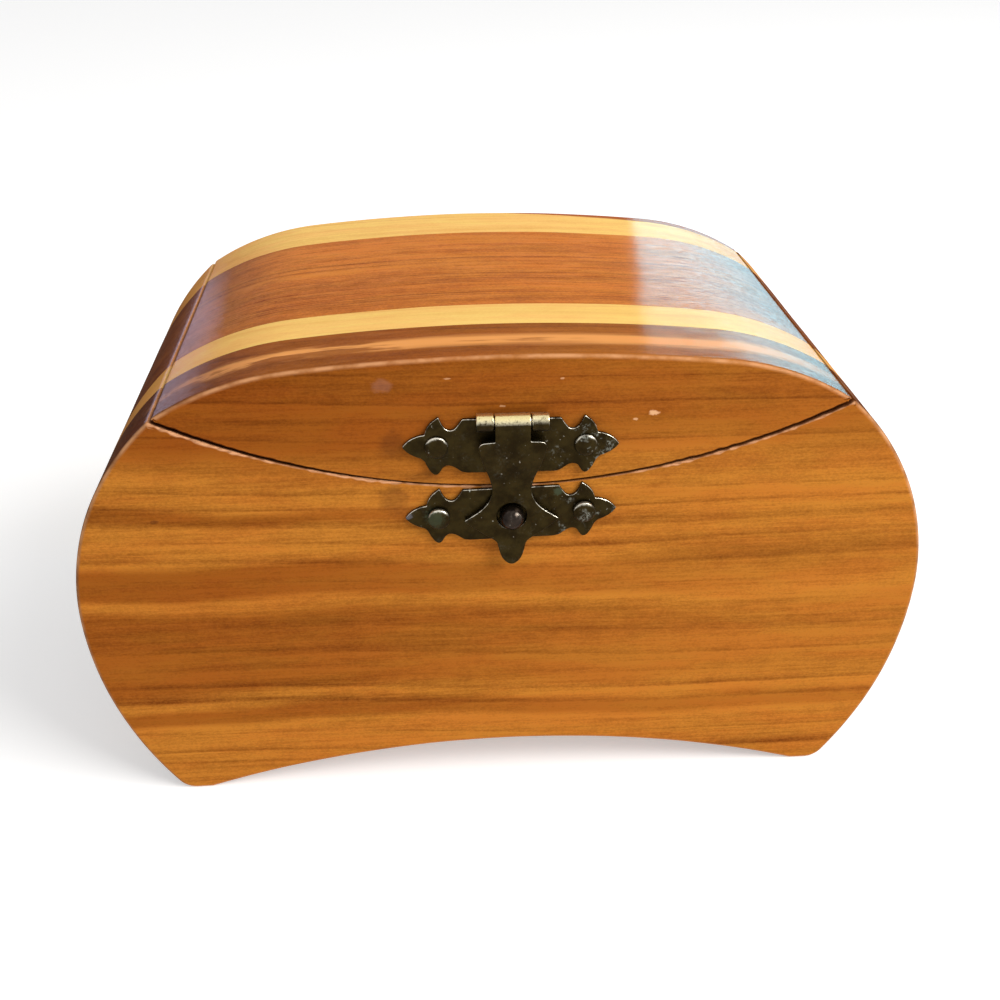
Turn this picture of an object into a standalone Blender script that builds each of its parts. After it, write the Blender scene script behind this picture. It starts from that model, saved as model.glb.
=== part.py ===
"""Laminated cedar keepsake box with a lens-shaped lid, a hasp at the front and two hinges at the back.

The box stands on the plane z = 0, its width runs along x and its back is at +y. All sizes are in metres.
"""

import math

import bmesh
import bpy
from mathutils import Vector

# Outline of the whole block, seen from the front
BOX_WIDTH = 0.1524
WIDEST_HEIGHT = 0.0410
LID_WIDTH = 0.1180
LID_CORNER_HEIGHT = 0.0790
DOME_RISE = 0.0099
CREST_RADIUS = 0.3430
CREST_WIDTH_SHARE = 0.62
FOOT_WIDTH = 0.1247
TOE_RADIUS = 0.0040
FOOT_LAND = 0.0030
ARCH_RISE = 0.0086
EDGE_ROUND = 0.0008

# Curved saw cut between the lid and the body
SEAM_SAG = 0.0140
SEAM_GAP_MIDDLE = 0.0003
SEAM_GAP_ENDS = 0.0007

# Glued layers, from the front to the back
FRONT_BOARD_THICKNESS = 0.01435
STRIPE_THICKNESS = 0.0096
CORE_THICKNESS = 0.0436
BACK_BOARD_THICKNESS = 0.0149
GLUE_LINE = 0.00005

# Cavity sawn out of the middle layers
SIDE_WALL = 0.0080
RIM_WIDTH = 0.0075
CAVITY_FLOOR_HEIGHT = 0.0170
CAVITY_CORNER_RADIUS = 0.0080

# Seats and running fits of the metal pieces
SEAT_GAP = 0.0001
HOLE_CLEARANCE = 0.0001
PIN_CLEARANCE = 0.0001
KNUCKLE_GAP = 0.00025
CUT_OVERRUN = 0.0010

# Latch at the front
LATCH_X = 0.0006
LATCH_SHEET = 0.0007
LATCH_SHEET_EDGE = 0.00012
LATCH_PLATE_LENGTH = 0.0365
LATCH_PLATE_HEIGHT = 0.0100
LATCH_PLATE_DROP = 0.0061
CATCH_PLATE_DROP = 0.0192
LATCH_BARREL_RADIUS = 0.0016
LATCH_AXIS_RISE = 0.0048
LATCH_PIN_RADIUS = 0.0008
LATCH_KNUCKLE_WIDTH = 0.00285
LATCH_NAIL_SPACING = 0.0252

# Hasp that swings on the latch plate
HASP_SHEET = 0.0008
HASP_KNUCKLE_WIDTH = 0.0059
HASP_WIDTH = 0.0164
HASP_TONGUE_LENGTH = 0.0093
HASP_STANDOFF = 0.00025
HASP_TIP_LIFT = 0.0007
HASP_HOLE_CLEARANCE = 0.00035

# Round knob on the catch plate
KNOB_RADIUS = 0.0022
KNOB_REACH = 0.0035
KNOB_SHANK_RADIUS = 0.0011
KNOB_SHANK_LENGTH = 0.0050

# Nails of the latch
NAIL_HEAD_RADIUS = 0.00195
NAIL_HEAD_HEIGHT = 0.0008
NAIL_SHANK_RADIUS = 0.0007
NAIL_LENGTH = 0.0090
NAIL_POINT_LENGTH = 0.0015

# Hinges at the back
HINGE_SPACING = 0.0440
HINGE_WIDTH = 0.0160
HINGE_LEAF_HEIGHT = 0.0075
HINGE_SHEET = 0.0007
HINGE_CORNER_RADIUS = 0.0010
HINGE_BARREL_RADIUS = 0.0014
HINGE_PIN_RADIUS = 0.00065
HINGE_PIN_OVERHANG = 0.0003
HINGE_NAIL_SPACING = 0.0100
HINGE_NAIL_HEAD_RADIUS = 0.0012
HINGE_NAIL_HEAD_HEIGHT = 0.0005
HINGE_NAIL_SHANK_RADIUS = 0.0005
HINGE_NAIL_LENGTH = 0.0065
HINGE_NAIL_POINT_LENGTH = 0.0010

# Quarter outline of a stamped plate, as shares of its half length and half height, from the middle
# of its top edge to its pointed end. Each list is one smooth run, and the runs meet in corners.
PLATE_SCALLOP_SHARES = [(0.455, 1.0), (0.490, 0.80), (0.535, 0.62), (0.585, 0.61), (0.628, 0.74), (0.672, 1.06)]
PLATE_LOBE_SHARES = [(0.672, 1.06), (0.735, 0.90), (0.780, 0.68), (0.800, 0.44)]
PLATE_POINT_SHARES = [(0.800, 0.44), (0.860, 0.39), (0.930, 0.26), (1.0, 0.0)]

# Half outline of the hasp. Drops are shares of the way from the hinge axis to the knob, and widths
# are shares of half of the hasp's width.
HASP_SHOULDER_SHARES = [(0.165, 0.360), (0.172, 0.600), (0.195, 0.675), (0.235, 0.700)]
HASP_WAIST_SHARES = [(0.235, 0.700), (0.400, 0.610), (0.560, 0.480), (0.680, 0.415), (0.760, 0.418)]
HASP_FLARE_SHARES = [(0.760, 0.418), (0.850, 0.500), (0.940, 0.680), (1.040, 1.000)]

# The tongue below the knob: drops as shares of its length, widths as before
HASP_TONGUE_SHARES = [(0.115, 0.970), (0.300, 0.700), (0.480, 0.400), (0.560, 0.310), (0.700, 0.270)]
HASP_TIP_SHARES = [(0.700, 0.270), (0.850, 0.215), (0.950, 0.130), (1.0, 0.040)]

# The hasp's bend back to the body, as shares of the way from the axis to the knob
HASP_BEND_START_SHARE = 0.15
HASP_BEND_END_SHARE = 0.75

# Point counts of the curves
SIDE_STEPS = 10
TOE_STEPS = 4
ARCH_STEPS = 16
SEAM_STEPS = 24
CREST_STEPS = 12
SHOULDER_STEPS = 8
CORNER_STEPS = 4
ROUND_SIDES = 24
NAIL_SIDES = 16
DOME_STEPS = 4
RUN_STEPS = 3
EDGE_SEGMENTS = 2

# Sizes that follow from the ones above
BODY_DEPTH = (
    FRONT_BOARD_THICKNESS + STRIPE_THICKNESS + CORE_THICKNESS + BACK_BOARD_THICKNESS + 3 * GLUE_LINE
)
FRONT_REACH = SEAT_GAP + LATCH_SHEET + KNOB_REACH + SEAT_GAP
BACK_REACH = SEAT_GAP + 2 * HINGE_BARREL_RADIUS
FRONT_FACE_Y = (FRONT_REACH - BODY_DEPTH - BACK_REACH) / 2
BACK_FACE_Y = FRONT_FACE_Y + BODY_DEPTH
LATCH_AXIS_Z = LID_CORNER_HEIGHT - LATCH_PLATE_DROP + LATCH_AXIS_RISE
LATCH_AXIS_Y = FRONT_FACE_Y - SEAT_GAP - LATCH_BARREL_RADIUS
KNOB_Z = LID_CORNER_HEIGHT - CATCH_PLATE_DROP
KNOB_DROP = LATCH_AXIS_Z - KNOB_Z
HINGE_AXIS_Y = BACK_FACE_Y + SEAT_GAP + HINGE_BARREL_RADIUS


def radius_of_chord(half_chord, rise):
    """Radius of the circle that rises by `rise` over a chord."""
    return (half_chord**2 + rise**2) / (2 * rise)


def arc(centre, radius, start, end, steps):
    """Points on a circle from one angle to another, both included."""
    points = []
    for i in range(steps + 1):
        angle = start + (end - start) * i / steps
        points.append((centre[0] + radius * math.cos(angle), centre[1] + radius * math.sin(angle)))
    return points


def angle_to(centre, point):
    """Angle of a point, seen from a centre."""
    return math.atan2(point[1] - centre[1], point[0] - centre[0])


def crossing(first, first_radius, second, second_radius, near):
    """The crossing of two circles that lies nearer to a given point."""
    span = Vector(second) - Vector(first)
    distance = span.length
    along = (first_radius**2 - second_radius**2 + distance**2) / (2 * distance)
    aside = math.sqrt(first_radius**2 - along**2)
    foot = Vector(first) + span * (along / distance)
    side = Vector((-span.y, span.x)) * (aside / distance)
    best = min((foot + side, foot - side), key=lambda point: (point - Vector(near)).length)
    return (best.x, best.y)


def smooth_run(points, steps):
    """A smooth curve through a few points, both ends included (Catmull-Rom)."""
    padded = [points[0]] + list(points) + [points[-1]]
    run = []
    for i in range(1, len(padded) - 2):
        a, b, c, d = (Vector(point) for point in padded[i - 1 : i + 3])
        for k in range(steps):
            t = k / steps
            point = b + (c - a) * (t / 2)
            point += (a - b * 2.5 + c * 2 - d * 0.5) * t**2
            point += ((b - c) * 1.5 + (d - a) * 0.5) * t**3
            run.append((point.x, point.y))
    run.append(tuple(points[-1]))
    return run


def mirrored(points):
    """The same points on the other side of the middle line, in the opposite order."""
    return [(-x, z) for x, z in reversed(points)]


def seam_circle(gap_side):
    """Centre height and radius of the saw cut's upper (+1) or lower (-1) face."""
    low = LID_CORNER_HEIGHT - SEAM_SAG + gap_side * SEAM_GAP_MIDDLE / 2
    high = LID_CORNER_HEIGHT + gap_side * SEAM_GAP_ENDS / 2
    radius = radius_of_chord(LID_WIDTH / 2, high - low)
    return (0.0, low + radius), radius


def upper_side_circle(widest, corner):
    """Circle that stands upright at its widest point and leans in to a corner above it."""
    radius = radius_of_chord(corner[1] - WIDEST_HEIGHT, widest - corner[0])
    return (widest - radius, WIDEST_HEIGHT), radius


def lower_side_circle(wall=0.0):
    """Circle of the side below its widest point, or of the inner wall at a given thickness."""
    radius = radius_of_chord(WIDEST_HEIGHT, (BOX_WIDTH - FOOT_WIDTH) / 2)
    return (BOX_WIDTH / 2 - radius, WIDEST_HEIGHT), radius - wall


def toe_centre():
    """Centre of the rounded toe, which touches the side's lower circle and the ground."""
    lower, lower_radius = lower_side_circle()
    reach = math.sqrt((lower_radius - TOE_RADIUS) ** 2 - (lower[1] - TOE_RADIUS) ** 2)
    return (lower[0] + reach, TOE_RADIUS)


def body_side_run():
    """Right side of the body, from the saw cut down to the flat land that it stands on."""
    lid_corner = (LID_WIDTH / 2, LID_CORNER_HEIGHT)
    upper, upper_radius = upper_side_circle(BOX_WIDTH / 2, lid_corner)
    lower, lower_radius = lower_side_circle()
    seam, seam_radius = seam_circle(-1)
    corner = crossing(upper, upper_radius, seam, seam_radius, lid_corner)
    toe = toe_centre()
    toe_angle = angle_to(lower, toe)
    run = arc(upper, upper_radius, angle_to(upper, corner), 0.0, SIDE_STEPS)
    run += arc(lower, lower_radius, 0.0, toe_angle, SIDE_STEPS)[1:]
    run += arc(toe, TOE_RADIUS, toe_angle, -math.pi / 2, TOE_STEPS)[1:]
    return run


def arch_run():
    """Hollow under the box, from the right land to the left one."""
    half_span = toe_centre()[0] - FOOT_LAND
    radius = radius_of_chord(half_span, ARCH_RISE)
    centre = (0.0, ARCH_RISE - radius)
    start = angle_to(centre, (half_span, 0.0))
    return arc(centre, radius, start, math.pi - start, ARCH_STEPS)


def seam_run(gap_side, left, right):
    """Face of the saw cut from one corner to another."""
    centre, radius = seam_circle(gap_side)
    return arc(centre, radius, angle_to(centre, left), angle_to(centre, right), SEAM_STEPS)


def body_outline():
    """Closed outline of a solid body board, and how many of its points lie off the saw cut."""
    side = body_side_run()
    around = side + arch_run() + mirrored(side)
    cut = seam_run(-1, around[-1], around[0])
    return around + cut[1:-1], len(around)


def cavity_side_run():
    """Right wall of the cavity, from its mouth at the saw cut down to the flat floor."""
    seam, seam_radius = seam_circle(-1)
    mouth_x = LID_WIDTH / 2 - RIM_WIDTH
    mouth = (mouth_x, seam[1] - math.sqrt(seam_radius**2 - mouth_x**2))
    upper, upper_radius = upper_side_circle(BOX_WIDTH / 2 - SIDE_WALL, mouth)
    lower, lower_radius = lower_side_circle(SIDE_WALL)
    corner_height = CAVITY_FLOOR_HEIGHT + CAVITY_CORNER_RADIUS
    inner_radius = lower_radius - CAVITY_CORNER_RADIUS
    corner_drop = lower[1] - corner_height
    turn = (lower[0] + math.sqrt(inner_radius**2 - corner_drop**2), corner_height)
    turn_angle = angle_to(lower, turn)
    run = arc(upper, upper_radius, angle_to(upper, mouth), 0.0, SIDE_STEPS)
    run += arc(lower, lower_radius, 0.0, turn_angle, SIDE_STEPS)[1:]
    run += arc(turn, CAVITY_CORNER_RADIUS, turn_angle, -math.pi / 2, CORNER_STEPS)[1:]
    return run


def hollow_outline():
    """Closed outline of a U-shaped middle layer: round the outside, then back along the cavity."""
    side = body_side_run()
    wall = cavity_side_run()
    centre, radius = seam_circle(-1)
    rim_steps = CORNER_STEPS
    rim = arc(centre, radius, angle_to(centre, wall[0]), angle_to(centre, side[0]), rim_steps)[1:-1]
    half = side + arch_run() + mirrored(side)
    return half + mirrored(rim) + mirrored(wall)[::-1] + wall[::-1] + rim


def lid_outline():
    """Closed outline of a lid layer, and how many of its points lie off the saw cut."""
    crest_x = CREST_WIDTH_SHARE * LID_WIDTH / 2
    apex = LID_CORNER_HEIGHT + DOME_RISE
    centre = (0.0, apex - CREST_RADIUS)
    crest_end = (crest_x, centre[1] + math.sqrt(CREST_RADIUS**2 - crest_x**2))
    inward = (Vector(centre) - Vector(crest_end)).normalized()
    reach = Vector((LID_WIDTH / 2, LID_CORNER_HEIGHT)) - Vector(crest_end)
    radius = reach.length_squared / (2 * inward.dot(reach))
    middle = Vector(crest_end) + inward * radius
    shoulder = (middle.x, middle.y)
    seam, seam_radius = seam_circle(1)
    corner = crossing(shoulder, radius, seam, seam_radius, (LID_WIDTH / 2, LID_CORNER_HEIGHT))
    end = arc(shoulder, radius, angle_to(shoulder, corner), angle_to(shoulder, crest_end), SHOULDER_STEPS)
    top = arc(centre, CREST_RADIUS, angle_to(centre, crest_end), math.pi - angle_to(centre, crest_end), CREST_STEPS)
    around = end + top[1:-1] + mirrored(end)
    cut = seam_run(1, around[-1], around[0])
    return around + cut[1:-1], len(around)


def plate_outline(length, height, notch=None):
    """Stamped plate with lobes and pointed ends. A notch is cut into its top edge for a barrel."""
    quarter = smooth_run(PLATE_SCALLOP_SHARES, RUN_STEPS)
    quarter += smooth_run(PLATE_LOBE_SHARES, RUN_STEPS)[1:]
    quarter += smooth_run(PLATE_POINT_SHARES, RUN_STEPS)[1:]
    upper = [(x * length / 2, z * height / 2) for x, z in quarter]
    lower = [(x, -z) for x, z in reversed(upper)][1:]
    right = upper + lower
    outline = right + mirrored(right)
    if notch:
        half_width, floor = notch
        top = height / 2
        outline += [(-half_width, top), (-half_width, floor), (half_width, floor), (half_width, top)]
    return outline


def material(name, colour, roughness, metallic=0.0):
    """A plain finish."""
    finish = bpy.data.materials.new(name)
    finish.use_nodes = True
    shader = finish.node_tree.nodes["Principled BSDF"]
    shader.inputs["Base Color"].default_value = (*colour, 1.0)
    shader.inputs["Roughness"].default_value = roughness
    shader.inputs["Metallic"].default_value = metallic
    finish.diffuse_color = (*colour, 1.0)
    return finish


def add_object(name, mesh_builder, parent=None, place=(0.0, 0.0, 0.0)):
    """An object from a bmesh, placed under its parent."""
    bmesh.ops.recalc_face_normals(mesh_builder, faces=mesh_builder.faces)
    mesh = bpy.data.meshes.new(name)
    mesh_builder.to_mesh(mesh)
    mesh_builder.free()
    piece = bpy.data.objects.new(name, mesh)
    bpy.context.scene.collection.objects.link(piece)
    piece.parent = parent
    piece.location = place
    return piece


def add_pivot(name, place, parent=None):
    """An empty on a joint's axis."""
    pivot = bpy.data.objects.new(name, None)
    bpy.context.scene.collection.objects.link(pivot)
    pivot.parent = parent
    pivot.location = place
    return pivot


def prism_along_y(outline, front, back):
    """A closed solid with one outline in the x-z plane."""
    shape = bmesh.new()
    near = [shape.verts.new((x, front, z)) for x, z in outline]
    far = [shape.verts.new((x, back, z)) for x, z in outline]
    shape.faces.new(near)
    shape.faces.new(reversed(far))
    for i in range(len(outline)):
        j = (i + 1) % len(outline)
        shape.faces.new((near[j], near[i], far[i], far[j]))
    return shape


def prism_along_x(section, left, right):
    """A closed solid with one section in the y-z plane."""
    shape = bmesh.new()
    near = [shape.verts.new((left, y, z)) for y, z in section]
    far = [shape.verts.new((right, y, z)) for y, z in section]
    shape.faces.new(near)
    shape.faces.new(reversed(far))
    for i in range(len(section)):
        j = (i + 1) % len(section)
        shape.faces.new((near[j], near[i], far[i], far[j]))
    return shape


def turned_along_y(profile, sides):
    """A turned solid about the y axis. The profile is (radius, y) and starts and ends on the axis."""
    shape = bmesh.new()
    first = shape.verts.new((0.0, profile[0][1], 0.0))
    last = shape.verts.new((0.0, profile[-1][1], 0.0))
    rings = []
    for radius, y in profile[1:-1]:
        ring = []
        for k in range(sides):
            angle = 2 * math.pi * k / sides
            ring.append(shape.verts.new((radius * math.cos(angle), y, radius * math.sin(angle))))
        rings.append(ring)
    for k in range(sides):
        j = (k + 1) % sides
        shape.faces.new((first, rings[0][k], rings[0][j]))
        shape.faces.new((last, rings[-1][j], rings[-1][k]))
        for ring, below in zip(rings, rings[1:]):
            shape.faces.new((ring[j], ring[k], below[k], below[j]))
    return shape


def bar_along_x(radius, left, right):
    """A round bar on the x axis."""
    return prism_along_x(arc((0.0, 0.0), radius, 0.0, 2 * math.pi, ROUND_SIDES)[:-1], left, right)


def ease_edges(shape, y, on_edge, width, segments):
    """Round the edges of the face at one y over whose ends `on_edge` holds."""
    tolerance = GLUE_LINE / 10
    picked = []
    for edge in shape.edges:
        if all(abs(vertex.co.y - y) < tolerance and on_edge(vertex) for vertex in edge.verts):
            picked.append(edge)
    bmesh.ops.bevel(
        shape,
        geom=picked,
        offset=width,
        offset_type="OFFSET",
        segments=segments,
        profile=0.5,
        affect="EDGES",
        clamp_overlap=True,
    )


def combine(piece, tool, operation):
    """Cut or join a piece with a tool object, which stays behind as a guide."""
    tool.hide_render = True
    tool.display_type = "WIRE"
    modifier = piece.modifiers.new(operation.title() + " " + tool.name, "BOOLEAN")
    modifier.operation = operation
    modifier.object = tool
    modifier.solver = "EXACT"


def drill(piece, name, centres, radius, front, back):
    """Round holes along y at (x, z) centres in the piece's own space."""
    drills = bmesh.new()
    for x, z in centres:
        hole = arc((x, z), radius, 0.0, 2 * math.pi, NAIL_SIDES)[:-1]
        single = prism_along_y(hole, front, back)
        mesh = bpy.data.meshes.new(name)
        single.to_mesh(mesh)
        single.free()
        drills.from_mesh(mesh)
        bpy.data.meshes.remove(mesh)
    tool = add_object(name, drills, piece.parent, piece.location)
    combine(piece, tool, "DIFFERENCE")


def knuckle_section(radius, sheet, strap, strap_side, strap_way):
    """Section of a rolled knuckle about the axis, with a strap that leads off along z."""
    points = [(strap_side * radius, strap_way * strap)]
    end = 2 * math.pi - math.acos((radius - sheet) / radius)
    for i in range(ROUND_SIDES + 1):
        angle = end * i / ROUND_SIDES
        points.append((strap_side * radius * math.cos(angle), -strap_way * radius * math.sin(angle)))
    points.append((strap_side * (radius - sheet), strap_way * strap))
    return points


def board(name, outline, eased, thickness, round_front, round_back, finish, parent, place):
    """A board of the block, with its outer front or back edge eased."""
    shape = prism_along_y(outline, 0.0, thickness)
    rim = {(round(x, 7), round(z, 7)) for x, z in outline[:eased]}

    def on_rim(vertex):
        return (round(vertex.co.x, 7), round(vertex.co.z, 7)) in rim

    if round_front:
        ease_edges(shape, 0.0, on_rim, EDGE_ROUND, EDGE_SEGMENTS)
    if round_back:
        ease_edges(shape, thickness, on_rim, EDGE_ROUND, EDGE_SEGMENTS)
    piece = add_object(name, shape, parent, place)
    piece.data.materials.append(finish)
    return piece


def nail(name, head_radius, head_height, shank_radius, length, point, facing, finish, parent, place):
    """A round-headed nail along y. Its head's underside is at its origin."""
    profile = [(0.0, -head_height)]
    for k in range(1, DOME_STEPS + 1):
        angle = math.pi / 2 * k / DOME_STEPS
        profile.append((head_radius * math.sin(angle), -head_height * math.cos(angle)))
    profile += [(shank_radius, 0.0), (shank_radius, length - point), (0.0, length)]
    shape = turned_along_y([(radius, y * facing) for radius, y in profile], NAIL_SIDES)
    piece = add_object(name, shape, parent, place)
    piece.data.materials.append(finish)
    return piece


def hasp_half_widths():
    """Rows of the hasp as (drop below the axis, half width), from the axis to the tip."""
    half = HASP_WIDTH / 2
    upper = smooth_run(HASP_SHOULDER_SHARES, RUN_STEPS)
    upper += smooth_run(HASP_WAIST_SHARES, RUN_STEPS)[1:]
    upper += smooth_run(HASP_FLARE_SHARES, RUN_STEPS)[1:]
    tongue = smooth_run(HASP_TONGUE_SHARES, RUN_STEPS)
    tongue += smooth_run(HASP_TIP_SHARES, RUN_STEPS)[1:]
    rows = [(0.0, HASP_KNUCKLE_WIDTH / 2)]
    rows += [(drop * KNOB_DROP, width * half) for drop, width in upper]
    rows += [(KNOB_DROP + drop * HASP_TONGUE_LENGTH, width * half) for drop, width in tongue]
    return rows


def hasp_face(drop):
    """How far in front of the axis the hasp's outer face lies at a drop below it."""
    rest = LATCH_SHEET + HASP_STANDOFF + HASP_SHEET - LATCH_BARREL_RADIUS
    start = HASP_BEND_START_SHARE * KNOB_DROP
    end = HASP_BEND_END_SHARE * KNOB_DROP
    share = min(max((drop - start) / (end - start), 0.0), 1.0)
    eased = share * share * (3 - 2 * share)
    tip = max((drop - KNOB_DROP) / HASP_TONGUE_LENGTH, 0.0)
    return LATCH_BARREL_RADIUS + (rest - LATCH_BARREL_RADIUS) * eased + HASP_TIP_LIFT * tip * tip


def make_hasp(finish, parent):
    """The swinging strap: a rolled knuckle, a bent sheet that widens round the knob, and its hole."""
    shape = bmesh.new()
    rows = []
    for drop, half in hasp_half_widths():
        face = -hasp_face(drop)
        corners = ((-half, face), (half, face), (half, face + HASP_SHEET), (-half, face + HASP_SHEET))
        rows.append([shape.verts.new((x, y, -drop)) for x, y in corners])
    shape.faces.new(rows[0])
    shape.faces.new(reversed(rows[-1]))
    for above, below in zip(rows, rows[1:]):
        for k in range(4):
            j = (k + 1) % 4
            shape.faces.new((above[j], above[k], below[k], below[j]))
    hasp = add_object("hasp", shape, parent)
    hasp.data.materials.append(finish)
    half = HASP_KNUCKLE_WIDTH / 2
    roll = add_object("hasp_roll", bar_along_x(LATCH_BARREL_RADIUS, -half, half), parent)
    combine(hasp, roll, "UNION")
    bore_radius = LATCH_PIN_RADIUS + PIN_CLEARANCE
    bore = bar_along_x(bore_radius, -half - CUT_OVERRUN, half + CUT_OVERRUN)
    combine(hasp, add_object("hasp_bore", bore, parent), "DIFFERENCE")
    hole = arc((0.0, -KNOB_DROP), KNOB_RADIUS + HASP_HOLE_CLEARANCE, 0.0, 2 * math.pi, ROUND_SIDES)[:-1]
    cutter = prism_along_y(hole, -LATCH_BARREL_RADIUS - CUT_OVERRUN, LATCH_BARREL_RADIUS + CUT_OVERRUN)
    combine(hasp, add_object("hasp_hole", cutter, parent), "DIFFERENCE")
    return hasp


def stamped_plate(name, centre_z, notch, finish, parent, origin):
    """A latch plate on the front face, with nail holes."""
    outline = plate_outline(LATCH_PLATE_LENGTH, LATCH_PLATE_HEIGHT, notch)
    shape = prism_along_y(outline, 0.0, LATCH_SHEET)
    ease_edges(shape, 0.0, lambda vertex: True, LATCH_SHEET_EDGE, 1)
    place = Vector((LATCH_X, FRONT_FACE_Y - SEAT_GAP - LATCH_SHEET, centre_z)) - origin
    plate = add_object(name, shape, parent, place)
    plate.data.materials.append(finish)
    holes = [(side * LATCH_NAIL_SPACING / 2, 0.0) for side in (-1, 1)]
    radius = NAIL_SHANK_RADIUS + HOLE_CLEARANCE
    drill(plate, name + "_drill", holes, radius, -CUT_OVERRUN, LATCH_SHEET + CUT_OVERRUN)
    return plate


def make_latch_plate(finish, parent, origin):
    """The lid's plate: a notch for the hasp's knuckle between two rolled knuckles of its own."""
    inner = HASP_KNUCKLE_WIDTH / 2 + KNUCKLE_GAP
    notch_floor = LATCH_AXIS_RISE - LATCH_BARREL_RADIUS - KNUCKLE_GAP
    plate_z = LATCH_AXIS_Z - LATCH_AXIS_RISE
    plate = stamped_plate("latch_plate", plate_z, (inner, notch_floor), finish, parent, origin)
    axis = Vector((LATCH_X, LATCH_AXIS_Y, LATCH_AXIS_Z)) - origin
    section = knuckle_section(LATCH_BARREL_RADIUS, LATCH_SHEET, LATCH_AXIS_RISE, 1, -1)
    for side, word in ((-1, "left"), (1, "right")):
        ends = sorted((side * inner, side * (inner + LATCH_KNUCKLE_WIDTH)))
        roll = add_object("latch_roll_" + word, prism_along_x(section, *ends), parent, axis)
        combine(plate, roll, "UNION")
    reach = inner + LATCH_KNUCKLE_WIDTH + CUT_OVERRUN
    bore = bar_along_x(LATCH_PIN_RADIUS + PIN_CLEARANCE, -reach, reach)
    combine(plate, add_object("latch_bore", bore, parent, axis), "DIFFERENCE")
    return plate


def make_pin(name, radius, half_length, finish, parent, place):
    """A plain pin along x."""
    pin = add_object(name, bar_along_x(radius, -half_length, half_length), parent, place)
    pin.data.materials.append(finish)
    return pin


def make_knob(finish):
    """The round knob that the hasp drops over, with its shank in the front board."""
    profile = [(0.0, -KNOB_REACH)]
    for k in range(1, DOME_STEPS + 1):
        angle = math.pi / 2 * k / DOME_STEPS
        profile.append((KNOB_RADIUS * math.sin(angle), KNOB_RADIUS - KNOB_REACH - KNOB_RADIUS * math.cos(angle)))
    profile += [(KNOB_RADIUS, 0.0), (KNOB_SHANK_RADIUS, 0.0)]
    profile += [(KNOB_SHANK_RADIUS, KNOB_SHANK_LENGTH), (0.0, KNOB_SHANK_LENGTH)]
    place = (LATCH_X, FRONT_FACE_Y - 2 * SEAT_GAP - LATCH_SHEET, KNOB_Z)
    knob = add_object("catch_knob", turned_along_y(profile, ROUND_SIDES), None, place)
    knob.data.materials.append(finish)
    return knob


def leaf_outline(way):
    """A hinge leaf's plate with rounded outer corners, above (+1) or below (-1) the axis."""
    near = HINGE_BARREL_RADIUS + KNUCKLE_GAP
    far = near + HINGE_LEAF_HEIGHT
    half = HINGE_WIDTH / 2
    turn = (half - HINGE_CORNER_RADIUS, far - HINGE_CORNER_RADIUS)
    right = [(half, near)] + arc(turn, HINGE_CORNER_RADIUS, 0.0, math.pi / 2, CORNER_STEPS)
    return [(x, way * z) for x, z in right + mirrored(right)]


def make_leaf(name, x, way, spans, finish, parent, origin):
    """A hinge leaf: a nailed plate and the knuckles that its straps roll into."""
    axis = Vector((x, HINGE_AXIS_Y, HINGE_AXIS_Z)) - origin
    back = -HINGE_BARREL_RADIUS
    shape = prism_along_y(leaf_outline(way), back, back + HINGE_SHEET)
    leaf = add_object(name, shape, parent, axis)
    leaf.data.materials.append(finish)
    strap = HINGE_BARREL_RADIUS + KNUCKLE_GAP + HINGE_CORNER_RADIUS
    section = knuckle_section(HINGE_BARREL_RADIUS, HINGE_SHEET, strap, -1, way)
    for number, (left, right) in enumerate(spans, 1):
        roll = add_object(f"{name}_roll_{number}", prism_along_x(section, left, right), parent, axis)
        combine(leaf, roll, "UNION")
    reach = HINGE_WIDTH / 2 + CUT_OVERRUN
    bore = bar_along_x(HINGE_PIN_RADIUS + PIN_CLEARANCE, -reach, reach)
    combine(leaf, add_object(name + "_bore", bore, parent, axis), "DIFFERENCE")
    holes = [(side * HINGE_NAIL_SPACING / 2, way * hinge_nail_rise()) for side in (-1, 1)]
    radius = HINGE_NAIL_SHANK_RADIUS + HOLE_CLEARANCE
    drill(leaf, name + "_drill", holes, radius, back - CUT_OVERRUN, back + HINGE_SHEET + CUT_OVERRUN)
    return leaf


def hinge_nail_rise():
    """Height of the hinge nails above or below the hinge axis: the middle of the leaf's plate."""
    return HINGE_BARREL_RADIUS + KNUCKLE_GAP + HINGE_LEAF_HEIGHT / 2


def hinge_axis_height():
    """The hinge axis lies level with the saw cut at the middle of each hinge."""
    centre, radius = seam_circle(0)
    return centre[1] - math.sqrt(radius**2 - (HINGE_SPACING / 2) ** 2)


HINGE_AXIS_Z = hinge_axis_height()


def clear_scene():
    """Start from an empty scene."""
    for item in list(bpy.data.objects):
        bpy.data.objects.remove(item, do_unlink=True)


def build_body(finishes):
    """The four glued layers below the saw cut."""
    solid, eased = body_outline()
    hollow = hollow_outline()
    y = FRONT_FACE_Y
    front = board(
        "front_board", solid, eased, FRONT_BOARD_THICKNESS, True, False, finishes["front"], None, (0, y, 0)
    )
    y += FRONT_BOARD_THICKNESS + GLUE_LINE
    board("stripe_strip", hollow, 0, STRIPE_THICKNESS, False, False, finishes["pale"], None, (0, y, 0))
    y += STRIPE_THICKNESS + GLUE_LINE
    board("core_block", hollow, 0, CORE_THICKNESS, False, False, finishes["core"], None, (0, y, 0))
    y += CORE_THICKNESS + GLUE_LINE
    back = board(
        "back_board", solid, eased, BACK_BOARD_THICKNESS, False, True, finishes["back"], None, (0, y, 0)
    )
    return front, back


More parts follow.
